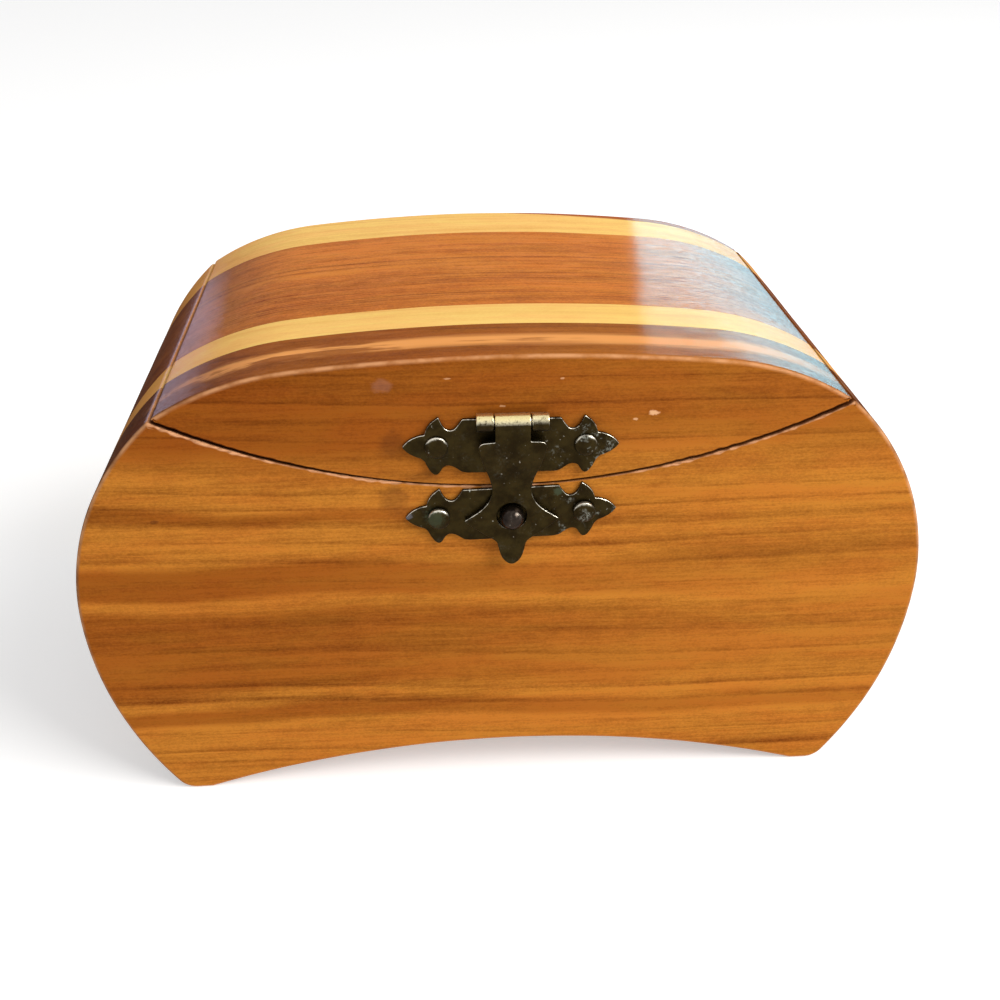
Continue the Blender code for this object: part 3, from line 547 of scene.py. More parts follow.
class Board:
    """A board of the block, built ring by ring from its front to its back."""

    def __init__(self, name, loop, kinds, torn):
        self.kinds = kinds
        self.corner = self.near_corner(loop)
        self.loop = np.where(self.corner[:, None] > 0, softened(loop, CORNER_EASE), loop)
        self.worn = self.corner * (torn and self.loop[:, 0] < 0)
        self.inward = inward_normals(self.loop)
        low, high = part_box(name)
        self.front, self.back = low.y, high.y
        self.torn = torn
        self.chips = sawn_eases(loop, torn)
        self.sawn = np.choose(kinds, (0.0, 1.0, CAVITY_BARE))

    def near_corner(self, loop):
        """1 where the outside meets the saw cut, falling to 0 over the width of the worn corner."""
        near = np.zeros(len(loop))
        meeting = {RING_KINDS["outside"], RING_KINDS["seam"]}
        for i in range(len(loop)):
            if {self.kinds[i - 1], self.kinds[i]} == meeting:
                away = np.linalg.norm(loop - (loop[i - 1] + loop[i]) / 2, axis=1)
                near = np.maximum(near, np.clip(1 - away / CORNER_WORN, 0, 1))
        return near

    def eases(self):
        """Ease of each point: full on the outside, a hair or a chip on sawn edges."""
        sharp = np.where(self.kinds == RING_KINDS["outside"], EDGE_EASE, self.chips)
        corner = blurred(self.kinds * 1.0, EASE_BLEND)
        mixed = (corner > 0.01) & (corner < 0.99)
        return np.where(mixed, blurred(sharp, EASE_BLEND), sharp)

    def ring(self, depth, inset, edge, bare, chip=0.0):
        """One ring. Depth is each point's y, inset how far it is drawn in."""
        flat = self.loop + self.inward * np.asarray(inset).reshape(-1, 1)
        place = np.column_stack((flat[:, 0], np.broadcast_to(depth, len(flat)), flat[:, 1]))
        # Painted kerf shade: points at the corners of the saw cut take the dark, bare colour.
        kerf_shaded = np.maximum(bare, self.corner > CORNER_KERF_SHADE)
        bare = np.where(self.worn > 0, bare * (1 - self.worn), kerf_shaded)
        chip = np.maximum(chip, self.worn * CORNER_CHIP)
        marks = [np.broadcast_to(mark, len(flat)) for mark in (edge, bare, chip)]
        return wander(place), np.column_stack(marks)

    def end_rings(self, face, way, eased):
        """The rings next to a face, from the face inwards."""
        if not eased:
            return [self.ring(face, 0.0, 0.0, self.sawn)]
        ease = self.eases()
        torn = np.clip((ease - SEAM_EASE) / (CHIP_EASE - SEAM_EASE) * 2 + 0.2, 0, 1)
        chip = torn * self.sawn * self.torn
        rings = [self.ring(face, ease + SUPPORT, 0.0, 0.0)]
        for k in range(EASE_STEPS + 1):
            turn = math.pi / 2 * k / EASE_STEPS
            depth = face + way * ease * (1 - math.cos(turn))
            # Middle of the rounding of outer edges, where wear and a painted highlight go.
            worn = math.sin(2 * turn) ** 2 * (1 - self.sawn)
            share = CHIP_AT_FACE if k == 0 else CHIP_AT_END if k == EASE_STEPS else 1.0
            inset = ease * (1 - math.sin(turn))
            rings.append(self.ring(depth, inset, worn, self.sawn * (k > 0), chip * share))
        return rings

    def build(self, front_eased, back_eased):
        front = self.end_rings(self.front, 1, front_eased)
        back = self.end_rings(self.back, -1, back_eased)[::-1]
        start = self.front + (EDGE_EASE + SUPPORT if front_eased else 0.0)
        end = self.back - (EDGE_EASE + SUPPORT if back_eased else 0.0)
        count = max(2, round((end - start) / RING_SPACING))
        first, last = (0 if front_eased else 1), (count if back_eased else count - 1)
        middle = [
            self.ring(start + (end - start) * k / count, 0.0, 0.0, self.sawn)
            for k in range(first, last + 1)
        ]
        self.rings = front + middle + back
        return self

    def sawn_edge(self):
        """Points along the middle of the front's rounded sawn edge, away from the outer corners."""
        sawn = (self.kinds == RING_KINDS["seam"]) & (self.corner == 0)
        drawn_in = (1 - math.cos(math.pi / 4)) * self.eases()[sawn]
        flat = self.loop[sawn] + self.inward[sawn] * drawn_in.reshape(-1, 1)
        return wander(np.column_stack((flat[:, 0], self.front + drawn_in, flat[:, 1])))


print("rings round an eased edge:", EASE_STEPS + 2)

# %% Mesh of a board
PANEL = 3.0 * MM
PANEL_SNAP = 0.26 * MM
SHARP_ANGLE = math.radians(35)


def panel_lines(loop):
    """Where the flat faces of a board are cut: across x, and across z."""
    count = int((loop[:, 0].max() - PANEL / 2) / PANEL)
    columns = [PANEL * k for k in range(-count, count + 1)]
    low, high = loop[:, 1].min(), loop[:, 1].max()
    count = max(1, int((high - low) / PANEL))
    rows = [low + (high - low) * (k + 0.5) / count for k in range(count)]
    return ((Vector((1, 0, 0)), columns), (Vector((0, 0, 1)), rows))


def panelled(shape, cap, loop):
    pieces = [cap, *cap.edges, *cap.verts]
    for across, spots in panel_lines(loop):
        for spot in spots:
            cut = bmesh.ops.bisect_plane(
                shape, geom=pieces, dist=PANEL_SNAP, plane_co=across * spot, plane_no=across
            )
            pieces = cut["geom"]


def few_cornered(shape):
    """Divides the faces that have more than four corners."""
    many = [face for face in shape.faces if len(face.verts) > 4]
    bmesh.ops.triangulate(shape, faces=many, ngon_method="EAR_CLIP")
    return shape


def outwards(shape):
    """Turns all faces outwards. On a thin or pointed shape the first guess can be inside out."""
    bmesh.ops.recalc_face_normals(shape, faces=shape.faces)
    if shape.calc_volume(signed=True) < 0:
        bmesh.ops.reverse_faces(shape, faces=shape.faces)
    return shape


def board_shape(board):
    shape = bmesh.new()
    layers = [shape.verts.layers.float.new(name) for name in ("edge", "bare", "chip")]
    grid = []
    for places, marks in board.rings:
        row = [shape.verts.new(place) for place in places]
        for vertex, values in zip(row, marks):
            for layer, value in zip(layers, values):
                vertex[layer] = value
        grid.append(row)
    for near, far in zip(grid, grid[1:]):
        for i in range(len(near)):
            j = (i + 1) % len(near)
            shape.faces.new((near[i], near[j], far[j], far[i]))
    for cap in (shape.faces.new(grid[0][::-1]), shape.faces.new(grid[-1])):
        panelled(shape, cap, board.loop)
    return outwards(few_cornered(shape))


def dressed(name, mesh, body, replaces):
    """Makes a mesh a piece that rides on its body and stands for its nodes of the model."""
    mesh.shade_smooth()
    mesh.set_sharp_from_angle(angle=SHARP_ANGLE)
    piece = bpy.data.objects.new(name, mesh)
    bpy.context.scene.collection.objects.link(piece)
    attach(piece, body)
    if replaces:
        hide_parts(*replaces)
    print(name, "faces", len(mesh.polygons))
    return piece


def finished(name, shape, finish, body, replaces):
    """The same for a mesh that is still under construction."""
    mesh = bpy.data.meshes.new(name)
    shape.to_mesh(mesh)
    shape.free()
    mesh.materials.append(finish)
    return dressed(name, mesh, body, replaces)


print("the flat faces are cut into panels of", round(PANEL / MM, 1), "mm")

# %% [markdown]
# ## Cedar
# Red cedar has thin dark growth lines, fine pores and a grain that runs along the box's width. A
# picture of wood could be wrapped round each board, but it would stretch on the dome and not meet
# at the corners. A solid pattern is carved through space instead: the growth layers are sheets that
# lean through the board, bent by slow noise, so the face, the top and the end grain agree. Each
# year darkens slowly and ends sharply, which is what tells growth lines from painted stripes.

# %% Growth lines
TO_MILLIMETRES = (1000.0, 1000.0, 1000.0)
# Noise that bends the sheets: counts per millimetre along and across, detail, and reach in mm.
BENDS = ((0.009, 0.03, 1.0, 5.0), (0.025, 0.25, 2.0, 0.8))
SLANT_END = 10.0
SLANT_BLEND = 30.0
YEAR_DRIFT_LENGTH = 0.6
YEAR_DRIFT = 1.7
# Dark parts of a year: how dark, and where in the year each starts, is full and fades.
LATE_WOOD = ((0.32, 0.25, 0.88, 0.84), (0.34, 0.70, 0.86, 0.86))


def wave(value, detail):
    """Noise along one line."""
    settings = {"noise_dimensions": "1D"}
    return value.tree.node("ShaderNodeTexNoise", settings, W=value, Scale=1.0, Detail=detail)


def growth_sheets(at, place, lean, slant):
    """How far a place lies across the sheets. Lean goes from flat (0) to upright (90 degrees)."""
    x, y, z = place
    left = x.math("SMOOTH_MIN", SLANT_END, SLANT_BLEND)
    sheet = z * math.cos(lean) + y * math.sin(lean) + left * slant
    for along, across, detail, reach in BENDS:
        sheet += (at.grain(along, across, detail) - 0.5) * reach
    return sheet


def growth_lines(sheet, x, spacing):
    """Dark late wood of every year. Years differ in strength, and each fades in places."""
    drift = wave(sheet * (YEAR_DRIFT_LENGTH / spacing), 1.0)
    count = (sheet * (1.0 / spacing) + drift * YEAR_DRIFT) * -1.0
    phase, number = count.math("FRACT"), count.math("FLOOR")
    wide, narrow = (
        phase.step(start, full) * phase.step(1.0, end) * dark
        for dark, start, full, end in LATE_WOOD
    )
    strength = sheet.tree.node("ShaderNodeTexWhiteNoise", {"noise_dimensions": "1D"}, W=number)
    line = (wide + narrow) * strength.line(0.0, 1.0, 0.15, 1.0)
    return line * wave(x * 0.02 + number * 7.3, 2.0).step(0.30, 0.62, 0.55, 1.0)


print("dark parts of a year:", len(LATE_WOOD))

# %% [markdown]
# ## Grain
# Between the growth lines the wood is full of finer marks, each a noise drawn out along the fibres:
# broad bands, streaks, fibres, pores, and pale flecks where light glances off. A table lists them,
# and every one adds a little shade. Wood also shows more red in some places than in others.

# %% Grain
LINE_DARKNESS = 0.7
# Counts per millimetre along and across, detail, roughness, and the step from noise to shade.
GRAINS = {
    "band": (0.006, 0.10, 2.0, 0.55, (0.36, 0.68, 0.0, 0.24)),
    "streak": (0.022, 0.55, 3.0, 0.6, (0.34, 0.70, -0.05, 0.14)),
    "speckle": (1.9, 3.0, 2.0, 0.65, (0.3, 0.7, -0.11, 0.11)),
    "fleck": (0.55, 3.6, 2.0, 0.6, (0.62, 0.74, 0.0, -0.22)),
    "fibre": (0.07, 2.6, 3.0, 0.6, (0.32, 0.70, -0.09, 0.10)),
    "pore": (0.6, 8.0, 2.0, 0.6, (0.35, 0.75, -0.05, 0.09)),
    "mottle": (0.22, 0.30, 3.0, 0.6, (0.3, 0.7, -0.06, 0.06)),
}
REDDER = colour(255, 236, 242)


def grained(at, line, light, dark, contrast):
    """Wood from light to dark by the shade of its lines and grains, with each grain's noise."""
    shade, grains = line * LINE_DARKNESS, {}
    for kind, (along, across, detail, roughness, step) in GRAINS.items():
        grains[kind] = at.grain(along, across, detail, roughness)
        shade += grains[kind].step(*step)
    wood = at.tree.mix(shade.math("MULTIPLY", contrast, clamp=True), light, dark)
    warmth = at.grain(0.05, 0.28, 3.0, 0.6).step(0.36, 0.64, 0.0, 0.6)
    return at.tree.mix(warmth, wood, REDDER, "MULTIPLY"), grains


print("grains:", *GRAINS)

# %% [markdown]
# ## End grain, wear, painted shade and highlight, and varnish
# Where the board's side cuts across the fibres they drink the varnish and go dark, and painted
# shade darkens them further, most on the steep sides. Sawn faces are bare and dark, from saw burn
# and from painted shade inside the kerf. Torn edges show fresh wood, and handled edges are rubbed
# pale, with a painted highlight along the middle of each eased edge. The points of each board say
# how much of each there is. The varnish is a clear coat, thinner on end grain and on fibres, and
# its surface follows the fibres a little.

# %% End grain, wear, painted shade and highlight, and varnish
# End grain's own darker tone, deepened as painted shade on the sides; the same for the pale end
# grain.
END_GRAIN_AND_SHADE = colour(98, 66, 76)
PALE_END_GRAIN_AND_SHADE = colour(206, 166, 140)
# Painted shade on the steep sides, the faces that turn to the left or the right.
STEEP_SIDE_SHADE = colour(104, 80, 90)
# Saw burn on bare sawn faces, with painted shade inside the kerf between lid and body.
SAWN_WOOD_AND_KERF_SHADE = colour(74, 34, 18)
FRESH_WOOD = colour(230, 168, 122)
# Rubbed wood, and a painted highlight along the rounding of eased edges.
WORN_EDGE_AND_HIGHLIGHT = colour(240, 176, 124)


def end_grain_and_side_shade(tree, wood, slope, covered, shaded_end_grain):
    """End grain and painted shade on the sides. Slope is 0 along the fibres and 1 across them."""
    # End grain's darker tone, deepened as painted shade.
    soaked_and_shaded = tree.mix(0.85, wood, shaded_end_grain, "MULTIPLY")
    wood = tree.mix(slope.step(0.08, 0.64) * 0.9, wood, soaked_and_shaded)
    # Painted shade on the steep sides.
    return tree.mix(slope.step(0.64, 0.94, 0.0, 0.65) * covered, wood, STEEP_SIDE_SHADE, "MULTIPLY")


def worn_wood(tree, wood, grains, bare):
    # Bare sawn faces go dark: saw burn with painted kerf shade.
    wood = tree.mix(bare.step(0.55, 1.0, 0.0, 0.75), wood, SAWN_WOOD_AND_KERF_SHADE)
    torn = tree.mark("chip") * grains["fibre"].step(0.3, 0.6, 0.4, 1.0)
    # Wear and a painted highlight along the middle of the eased edges.
    rubbed_and_lit = tree.mark("edge") * grains["mottle"].step(0.3, 0.62, 0.25, 0.75)
    return tree.mix(rubbed_and_lit, tree.mix(torn, wood, FRESH_WOOD), WORN_EDGE_AND_HIGHLIGHT)


def wood_relief(at, line, fibre, bare):
    saw_marks = at.scaled((1.6, 0.06, 1.6)).noise() * bare
    height = line * -0.5 + fibre * 0.5 + saw_marks * 4.0
    return at.tree.node("ShaderNodeBump", Strength=0.15, Distance=0.2 * MM, Height=height)


def varnish_on(shader, at, fibre, slope, covered, varnish):
    film = fibre.step(0.3, 0.65, 0.30, 0.15) * covered
    film *= slope.step(0.5, 0.75, varnish, 0.2 * varnish)
    ridges = at.grain(0.035, 1.6, 3.0, 0.6)
    ripple = at.tree.node("ShaderNodeBump", Strength=0.3, Distance=0.1 * MM, Height=ridges)
    at.tree.fill(shader, Coat_Weight=film, Coat_Roughness=0.10, Coat_IOR=1.2, Coat_Normal=ripple)


print("a steep side is darkened by", tuple(round(value, 3) for value in STEEP_SIDE_SHADE[:3]))

# %% [markdown]
# ## Marks of single boards
# The front board has darker bands, grime beside the latch, a few nicks and a stripe of paler
# sapwood along its top. The bands grow stronger toward the left end as painted shade, and the
# grime beside the latch is partly a painted shadow of the plates. The back board has a wedge
# of dark heartwood in a corner. They could be painted on with a mask, but a few soft ovals and
# bands, placed in millimetres and made ragged by noise, need no picture.

# %% Marks of the front board
# The wood's own darker bands; toward the left end they also carry painted shade.
DEEP_WOOD_AND_SHADE = colour(176, 140, 110)
# Bottom, top and softness in mm, and the strength at the left and at the right end. Each band
# is stronger at the left: painted shade where the light falls off toward the left end.
FRONT_BANDS_AND_SHADE = (
    (14.5, 20.5, 2.0, 0.62, 0.35),
    (22.0, 42.0, 3.0, 0.62, 0.16),
    (42.0, 52.0, 2.5, 0.72, 0.18),
    (59.5, 64.5, 2.0, 0.62, 0.0),
    (68.0, 150.0, 8.0, 0.82, 0.5),
)
# Dark spots: grime with a painted shadow of the plates beside the latch, and a small knot.
GRIME_SHADOW_AND_KNOT = colour(60, 30, 22)
NICK = colour(246, 190, 140)
BLOOM = colour(176, 132, 122)
# Centre and half size in mm, strength and colour.
FRONT_SPOTS = (
    # By the left ends of the latch plates: grime with a painted shadow cast by the plates.
    ((-19.5, 62.5), (3.0, 3.5), 0.30, GRIME_SHADOW_AND_KNOT),
    ((-19.5, 73.0), (2.6, 3.0), 0.34, GRIME_SHADOW_AND_KNOT),
    ((-14.0, 66.8), (3.0, 1.6), 0.25, GRIME_SHADOW_AND_KNOT),
    # A small knot.
    ((-60.5, 60.0), (0.9, 0.5), 0.4, GRIME_SHADOW_AND_KNOT),
    ((21.4, 76.8), (0.5, 0.25), 0.7, NICK),
    ((24.6, 77.8), (0.95, 0.55), 0.9, NICK),
    ((8.9, 84.6), (0.45, 0.22), 0.5, NICK),
    ((-0.9, 79.9), (0.5, 0.22), 0.5, NICK),
    ((-9.9, 85.1), (0.7, 0.18), 0.45, NICK),
    ((-20.4, 84.2), (2.0, 1.6), 0.20, BLOOM),
)
SPOT_RAGGED = 1.6
BAND_SWAY = 14.0
FRONT_REACH = 60.0


def spot(x, z, centre, size, ragged):
    """1 inside a soft oval on the front face, in millimetres, and 0 outside."""
    across, along = (x - centre[0]) * (1 / size[0]), (z - centre[1]) * (1 / size[1])
    away = (across * across + along * along).math("SQRT")
    return (away + (ragged - 0.5) * SPOT_RAGGED).step(1.1, 0.5)


def front_marks(tree, wood, at, place):
    """Darker bands, grime beside the latch, a small knot, a few nicks and the pale streak.

    The bands are stronger at the left as painted shade, and the grime holds a painted shadow.
    """
    x, _, z = place
    low = z + at.grain(0.012, 0.03) * BAND_SWAY - BAND_SWAY / 2
    for bottom, top, soft, at_left, at_right in FRONT_BANDS_AND_SHADE:
        share = low.step(bottom, bottom + soft) * low.step(top, top - soft)
        # Painted shade: each band is stronger at the left end than at the right.
        share *= x.step(-FRONT_REACH, FRONT_REACH, at_left, at_right)
        wood = tree.mix(share, wood, DEEP_WOOD_AND_SHADE, "MULTIPLY")
    ragged, fine = at.grain(0.35, 0.5, 3.0, 0.6), at.grain(1.4, 2.2, 2.0, 0.6)
    for centre, size, strength, tone in FRONT_SPOTS:
        share = spot(x, z, centre, size, ragged if size[0] > 1 else fine) * strength
        wood = tree.mix(share, wood, tone)
    return sapwood_streak(tree, wood, at, place)


print("bands", len(FRONT_BANDS_AND_SHADE), "and spots", len(FRONT_SPOTS), "on the front board")

# %% Streak of sapwood and wedge of heartwood
SAPWOOD = colour(240, 162, 88)
STREAK_MIDDLE = -35.3
HEARTWOOD = colour(172, 104, 84)
WEDGE_CORNER = (5.0, 85.0)
WEDGE_DEPTH = 42.6


def sapwood_streak(tree, wood, at, place):
    """The paler sapwood that runs along the middle of the front board's top."""
    x, y, z = place
    middle = at.grain(0.018, 0.0) * 4.0 + STREAK_MIDDLE
    away = (y - middle).math("ABSOLUTE") + at.grain(0.05, 0.9) * 2.0
    patch = at.grain(0.05, 0.35, 3.0, 0.6) + x * 0.0025
    share = away.step(4.2, 1.8) * z.step(72.0, 84.0) * patch.step(0.33, 0.48, 0.15, 0.95)
    return tree.mix(share, wood, SAPWOOD)


def heart_wedge(tree, wood, at, place):
    """Dark heartwood that comes in at the upper right corner of the pale back board."""
    x, y, z = place
    reach = (x - WEDGE_CORNER[0]) * 0.07 + (z - WEDGE_CORNER[1]) * 0.25
    reach += (at.grain(0.02, 0.1) - 0.5) * 2.5
    inside = y + reach + at.grain(0.05, 1.2, 3.0, 0.6) * 1.2 - WEDGE_DEPTH
    return tree.mix(inside.step(-0.25, 0.35, 0.0, 0.95), wood, HEARTWOOD, "MULTIPLY")


print("the streak lies", round(STREAK_MIDDLE, 1), "mm from the middle of the box's depth")

# %% [markdown]
# ## The four kinds of cedar
# One function makes all of them, and the boards differ only in the colours, the lean and the
# spacing of their growth lines, and their marks.

# %% Cedar finishes
SEED_SHIFT = 191.0


def cedar(
    name, light, dark, lean, spacing, slant=0.0, seed=0.0, contrast=1.0, marks=None,
    shaded_end_grain=END_GRAIN_AND_SHADE, varnish=1.0,
):
    finish, tree, shader = new_finish(name)
    coordinates = tree.node("ShaderNodeTexCoord")
    here = coordinates.other("Object").scaled(TO_MILLIMETRES)
    shift = (seed * SEED_SHIFT, 0.0, 0.0)
    at = tree.node("ShaderNodeVectorMath", {"operation": "ADD"}, i0=here, i1=shift)
    place = here.parts()
    slope = coordinates.other("Normal").parts()[0].math("ABSOLUTE")
    bare = tree.mark("bare")
    covered = bare.line(0.0, 0.4, 1.0, 0.0)

    sheet = growth_sheets(at, place, math.radians(lean), slant)
    line = growth_lines(sheet, place[0], spacing)
    wood, grains = grained(at, line, light, dark, contrast)
    if marks:
        wood = marks(tree, wood, at, place)
    wood = end_grain_and_side_shade(tree, wood, slope, covered, shaded_end_grain)
    wood = worn_wood(tree, wood, grains, bare)
    relief = wood_relief(at, line, grains["fibre"], bare)
    tree.fill(shader, Base_Color=wood, Roughness=0.5, Specular_IOR_Level=0.0, Normal=relief)
    varnish_on(shader, at, grains["fibre"], slope, covered, varnish)
    return finish


front_cedar = cedar(
    "front cedar", colour(210, 134, 49), colour(106, 49, 10), lean=42, spacing=2.9, slant=0.035,
    marks=front_marks,
)
pale_sapwood = cedar(
    "pale sapwood", colour(252, 210, 118), colour(222, 154, 70), lean=60, spacing=1.1, seed=3.0,
    contrast=0.6, shaded_end_grain=PALE_END_GRAIN_AND_SHADE, varnish=0.7,
)
red_cedar = cedar(
    "red cedar", colour(216, 130, 48), colour(120, 50, 14), lean=80, spacing=1.0, seed=5.0,
    contrast=1.25,
)
back_sapwood = cedar(
    "back sapwood", colour(252, 208, 116), colour(214, 142, 62), lean=60, spacing=1.6, seed=7.0,
    contrast=0.8, marks=heart_wedge, shaded_end_grain=PALE_END_GRAIN_AND_SHADE, varnish=0.7,
)
print("nodes in the front cedar:", len(front_cedar.node_tree.nodes))

# %% [markdown]
# ## The eight boards
# Four boards make the body and four the lid. The front and back boards are whole, and the two
# middle ones are sawn to a U that holds the cavity.

# %% Boards of the body and the lid
# Name, finish, slot, and whether the front and the back edge are eased.
LAYERS = (
    ("front_board", front_cedar, "front_cedar", True, False),
    ("stripe_strip", pale_sapwood, "pale_sapwood", False, False),
    ("core_block", red_cedar, "red_cedar", False, False),
    ("back_board", back_sapwood, "back_sapwood", False, True),
)


def marked(runs):
    """Joins runs of points and keeps which kind each point is."""
    loop = np.concatenate([points for points, _ in runs])
    kinds = np.concatenate([np.full(len(points), RING_KINDS[kind]) for points, kind in runs])
    return loop, kinds


def body_loop(hollow):
    rim = body_rim()
    cut = seam(-1, rim[-1], rim[0])[1:-1]
    if not hollow:
        return marked([(rim, "outside"), (cut, "seam")])
    wall = cavity_run()
    left, right = cut[cut[:, 0] < -wall[0][0]], cut[cut[:, 0] > wall[0][0]]
    return marked([(rim, "outside"), (left, "seam"), (wall[::-1], "cavity"), (right, "seam")])


def lid_loop():
    """Drawn clockwise, from the left corner over the dome and back along the saw cut."""
    rim = lid_rim()[::-1]
    cut = seam(1, rim[0], rim[-1])[::-1][1:-1]
    return marked([(rim, "outside"), (cut, "seam")])


boards = {}
for name, finish, slot, front_eased, back_eased in LAYERS:
    hollow = not (front_eased or back_eased)
    boards[name] = Board(name, *body_loop(hollow), True).build(front_eased, back_eased)
    finished("sawn_" + name, board_shape(boards[name]), finish, "box", [name])
    board = Board("lid_" + name, *lid_loop(), False).build(front_eased, back_eased)
    finished("sawn_lid_" + name, board_shape(board), finish, "lid", ["lid_" + name])

# %% [markdown]
# ## Splinters along the saw cut
# The band saw tore short fibres out of the body's front edge, and the varnish has stiffened them.
# They follow the curve of the cut, so a Geometry Nodes tree walks along it, drops most of the
# places and sets a thin sliver on the others, turned along the cut with some scatter. The nails
# further down repeat as well, so the lines that both trees need are written once.


# %% What both Geometry Nodes trees share
def new_group(name, inputs, result):
    """A Geometry Nodes tree, the values of its named inputs and their identifiers."""
    group = bpy.data.node_groups.new(name, "GeometryNodeTree")
    keys = {}
    for title, (kind, default) in inputs.items():
        kind = "NodeSocket" + kind
        socket = group.interface.new_socket(name=title, in_out="INPUT", socket_type=kind)
        if default is not None:
            socket.default_value = default
        keys[title] = socket.identifier
    group.interface.new_socket(name=result, in_out="OUTPUT", socket_type="NodeSocketGeometry")
    tree = Tree(group)
    given = group.nodes.new("NodeGroupInput").outputs
    return tree, {socket.name: Value(tree, socket) for socket in given}, keys


def random_turn(tree, low, high, seed):
    low, high = (tree.node("ShaderNodeCombineXYZ", X=x, Y=y, Z=z) for x, y, z in (low, high))
    settings = {"data_type": "FLOAT_VECTOR"}
    return tree.node("FunctionNodeRandomValue", settings, i0=low, i1=high, Seed=seed)


def random_size(tree, low, high, seed):
    settings = {"data_type": "FLOAT"}
    return tree.node("FunctionNodeRandomValue", settings, 1, i2=low, i3=high, Seed=seed)


def real_pieces(tree, made, finish):
    """Ends a tree: the copies become real faces and get their finish."""
    real = tree.node("GeometryNodeRealizeInstances", Geometry=made)
    done = tree.node("GeometryNodeSetMaterial", Geometry=real, Material=finish)
    tree.fill(tree.tree.nodes.new("NodeGroupOutput"), i0=done)


def baked(name, mesh, group, keys, values):
    """Runs a Geometry Nodes tree on a mesh and returns the result as a plain mesh."""
    holder = bpy.data.objects.new(name, mesh)
    bpy.context.scene.collection.objects.link(holder)
    modifier = holder.modifiers.new(group.name, "NODES")
    modifier.node_group = group
    for key, value in values.items():
        modifier[keys[key]] = value
    seen = holder.evaluated_get(bpy.context.evaluated_depsgraph_get())
    result = bpy.data.meshes.new_from_object(seen)
    result.name = name
    bpy.data.objects.remove(holder)
    return result


def pattern(name, shape):
    """A shape that is only copied and never shown itself."""
    mesh = bpy.data.meshes.new(name)
    shape.to_mesh(mesh)
    shape.free()
    return bpy.data.objects.new(name, mesh)


print("node groups before the splinters:", len(bpy.data.node_groups))

# %% Splinters of the front board
SPLINTER_LENGTH = 1.3 * MM
SPLINTER_THICKNESS = 0.09 * MM
SPLINTER_WAIST = 0.12
SPLINTER_CORNERS = (0.5, 2.6, 4.7)
SPLINTER_CHIP = 0.9
SMALLEST_SPLINTER = 0.35
SPLINTER_INPUTS = {
    "Edge": ("Geometry", None),
    "Splinter": ("Object", None),
    "Spacing": ("Float", 0.5 * MM),
    "Share": ("Float", 0.4),
    "Scatter": ("Float", 0.25),
    "Seed": ("Int", 4),
    "Finish": ("Material", None),
}
TORN_LEFT_OF = -12 * MM
TORN_RIGHT_OF = 10 * MM
LONGEST_LINK = MM


def splinter_tree():
    tree, given, keys = new_group("splintering", SPLINTER_INPUTS, "Splinters")
    path = tree.node("GeometryNodeMeshToCurve", Mesh=given["Edge"])
    spots = tree.node("GeometryNodeResampleCurve", Curve=path)
    spots.node.mode = "LENGTH"
    tree.fill(spots.node, Length=given["Spacing"])
    along = tree.node("GeometryNodeInputTangent")
    level = tree.node("FunctionNodeAlignRotationToVector", {"axis": "X"}, Vector=along)
    seed, scatter = given["Seed"], given["Scatter"]
    twist = random_turn(tree, [scatter * -1.0] * 3, [scatter] * 3, seed)
    settings = {"rotation_space": "LOCAL"}
    turn = tree.node("FunctionNodeRotateRotation", settings, Rotation=level, Rotate_By=twist)
    settings = {"data_type": "BOOLEAN"}
    kept = tree.node("FunctionNodeRandomValue", settings, 3, i6=given["Share"], Seed=seed)
    size = random_size(tree, SMALLEST_SPLINTER, 1.0, seed)
    sliver = tree.node("GeometryNodeObjectInfo", Object=given["Splinter"]).other("Geometry")
    placing = {"Points": spots, "Selection": kept, "Rotation": turn, "Scale": size}
    made = tree.node("GeometryNodeInstanceOnPoints", Instance=sliver, **placing)
    real_pieces(tree, made, given["Finish"])
    return tree.tree, keys


def sliver_shape():
    """A thin three-sided sliver along x, pointed at both ends."""
    shape = bmesh.new()
    chip = shape.verts.layers.float.new("chip")
    ends = [shape.verts.new((side * SPLINTER_LENGTH / 2, 0.0, 0.0)) for side in (-1, 1)]
    ring = []
    for angle in SPLINTER_CORNERS:
        y = math.cos(angle) * SPLINTER_THICKNESS / 2
        z = math.sin(angle) * SPLINTER_THICKNESS / 2
        ring.append(shape.verts.new((SPLINTER_LENGTH * SPLINTER_WAIST, y, z)))
    for i in range(3):
        shape.faces.new((ends[0], ring[i - 1], ring[i]))
        shape.faces.new((ends[1], ring[i], ring[i - 1]))
    for vertex in shape.verts:
        vertex[chip] = SPLINTER_CHIP
    return outwards(shape)


run = boards["front_board"].sawn_edge()
run = run[(run[:, 0] < TORN_LEFT_OF) | (run[:, 0] > TORN_RIGHT_OF)]
pairs = [(i, i + 1) for i in range(len(run) - 1)]
links = [(i, j) for i, j in pairs if math.dist(run[i], run[j]) < LONGEST_LINK]
edge_mesh = bpy.data.meshes.new("torn edge")
edge_mesh.from_pydata(run.tolist(), links, [])
values = {"Splinter": pattern("sliver", sliver_shape()), "Finish": front_cedar}
splinters = baked("kerf_splinters", edge_mesh, *splinter_tree(), values)
dressed("kerf_splinters", splinters, "box", [])
print("splinters", len(splinters.polygons) // 6)

# %% [markdown]
# ## Antique brass
# The latch is stamped from thin brass and stained nearly black. Handling has rubbed the stain off
# its high edges and off the tops of the rolled knuckles, where bright metal shows. That metal is
# also a painted highlight: it is laid mostly on edges that face up and on the lit tops of the
# knuckles. Those places are known when the sheet is cut, so each point carries how exposed its
# edge is and how much polish and highlight it gets, and the finish breaks both up with noise. A
# few chalky patches are the first corrosion.

# %% Brass finish
CHALK = colour(146, 148, 136)
SPECK_STRENGTH = 0.35
BARE_GLOSS = 0.24


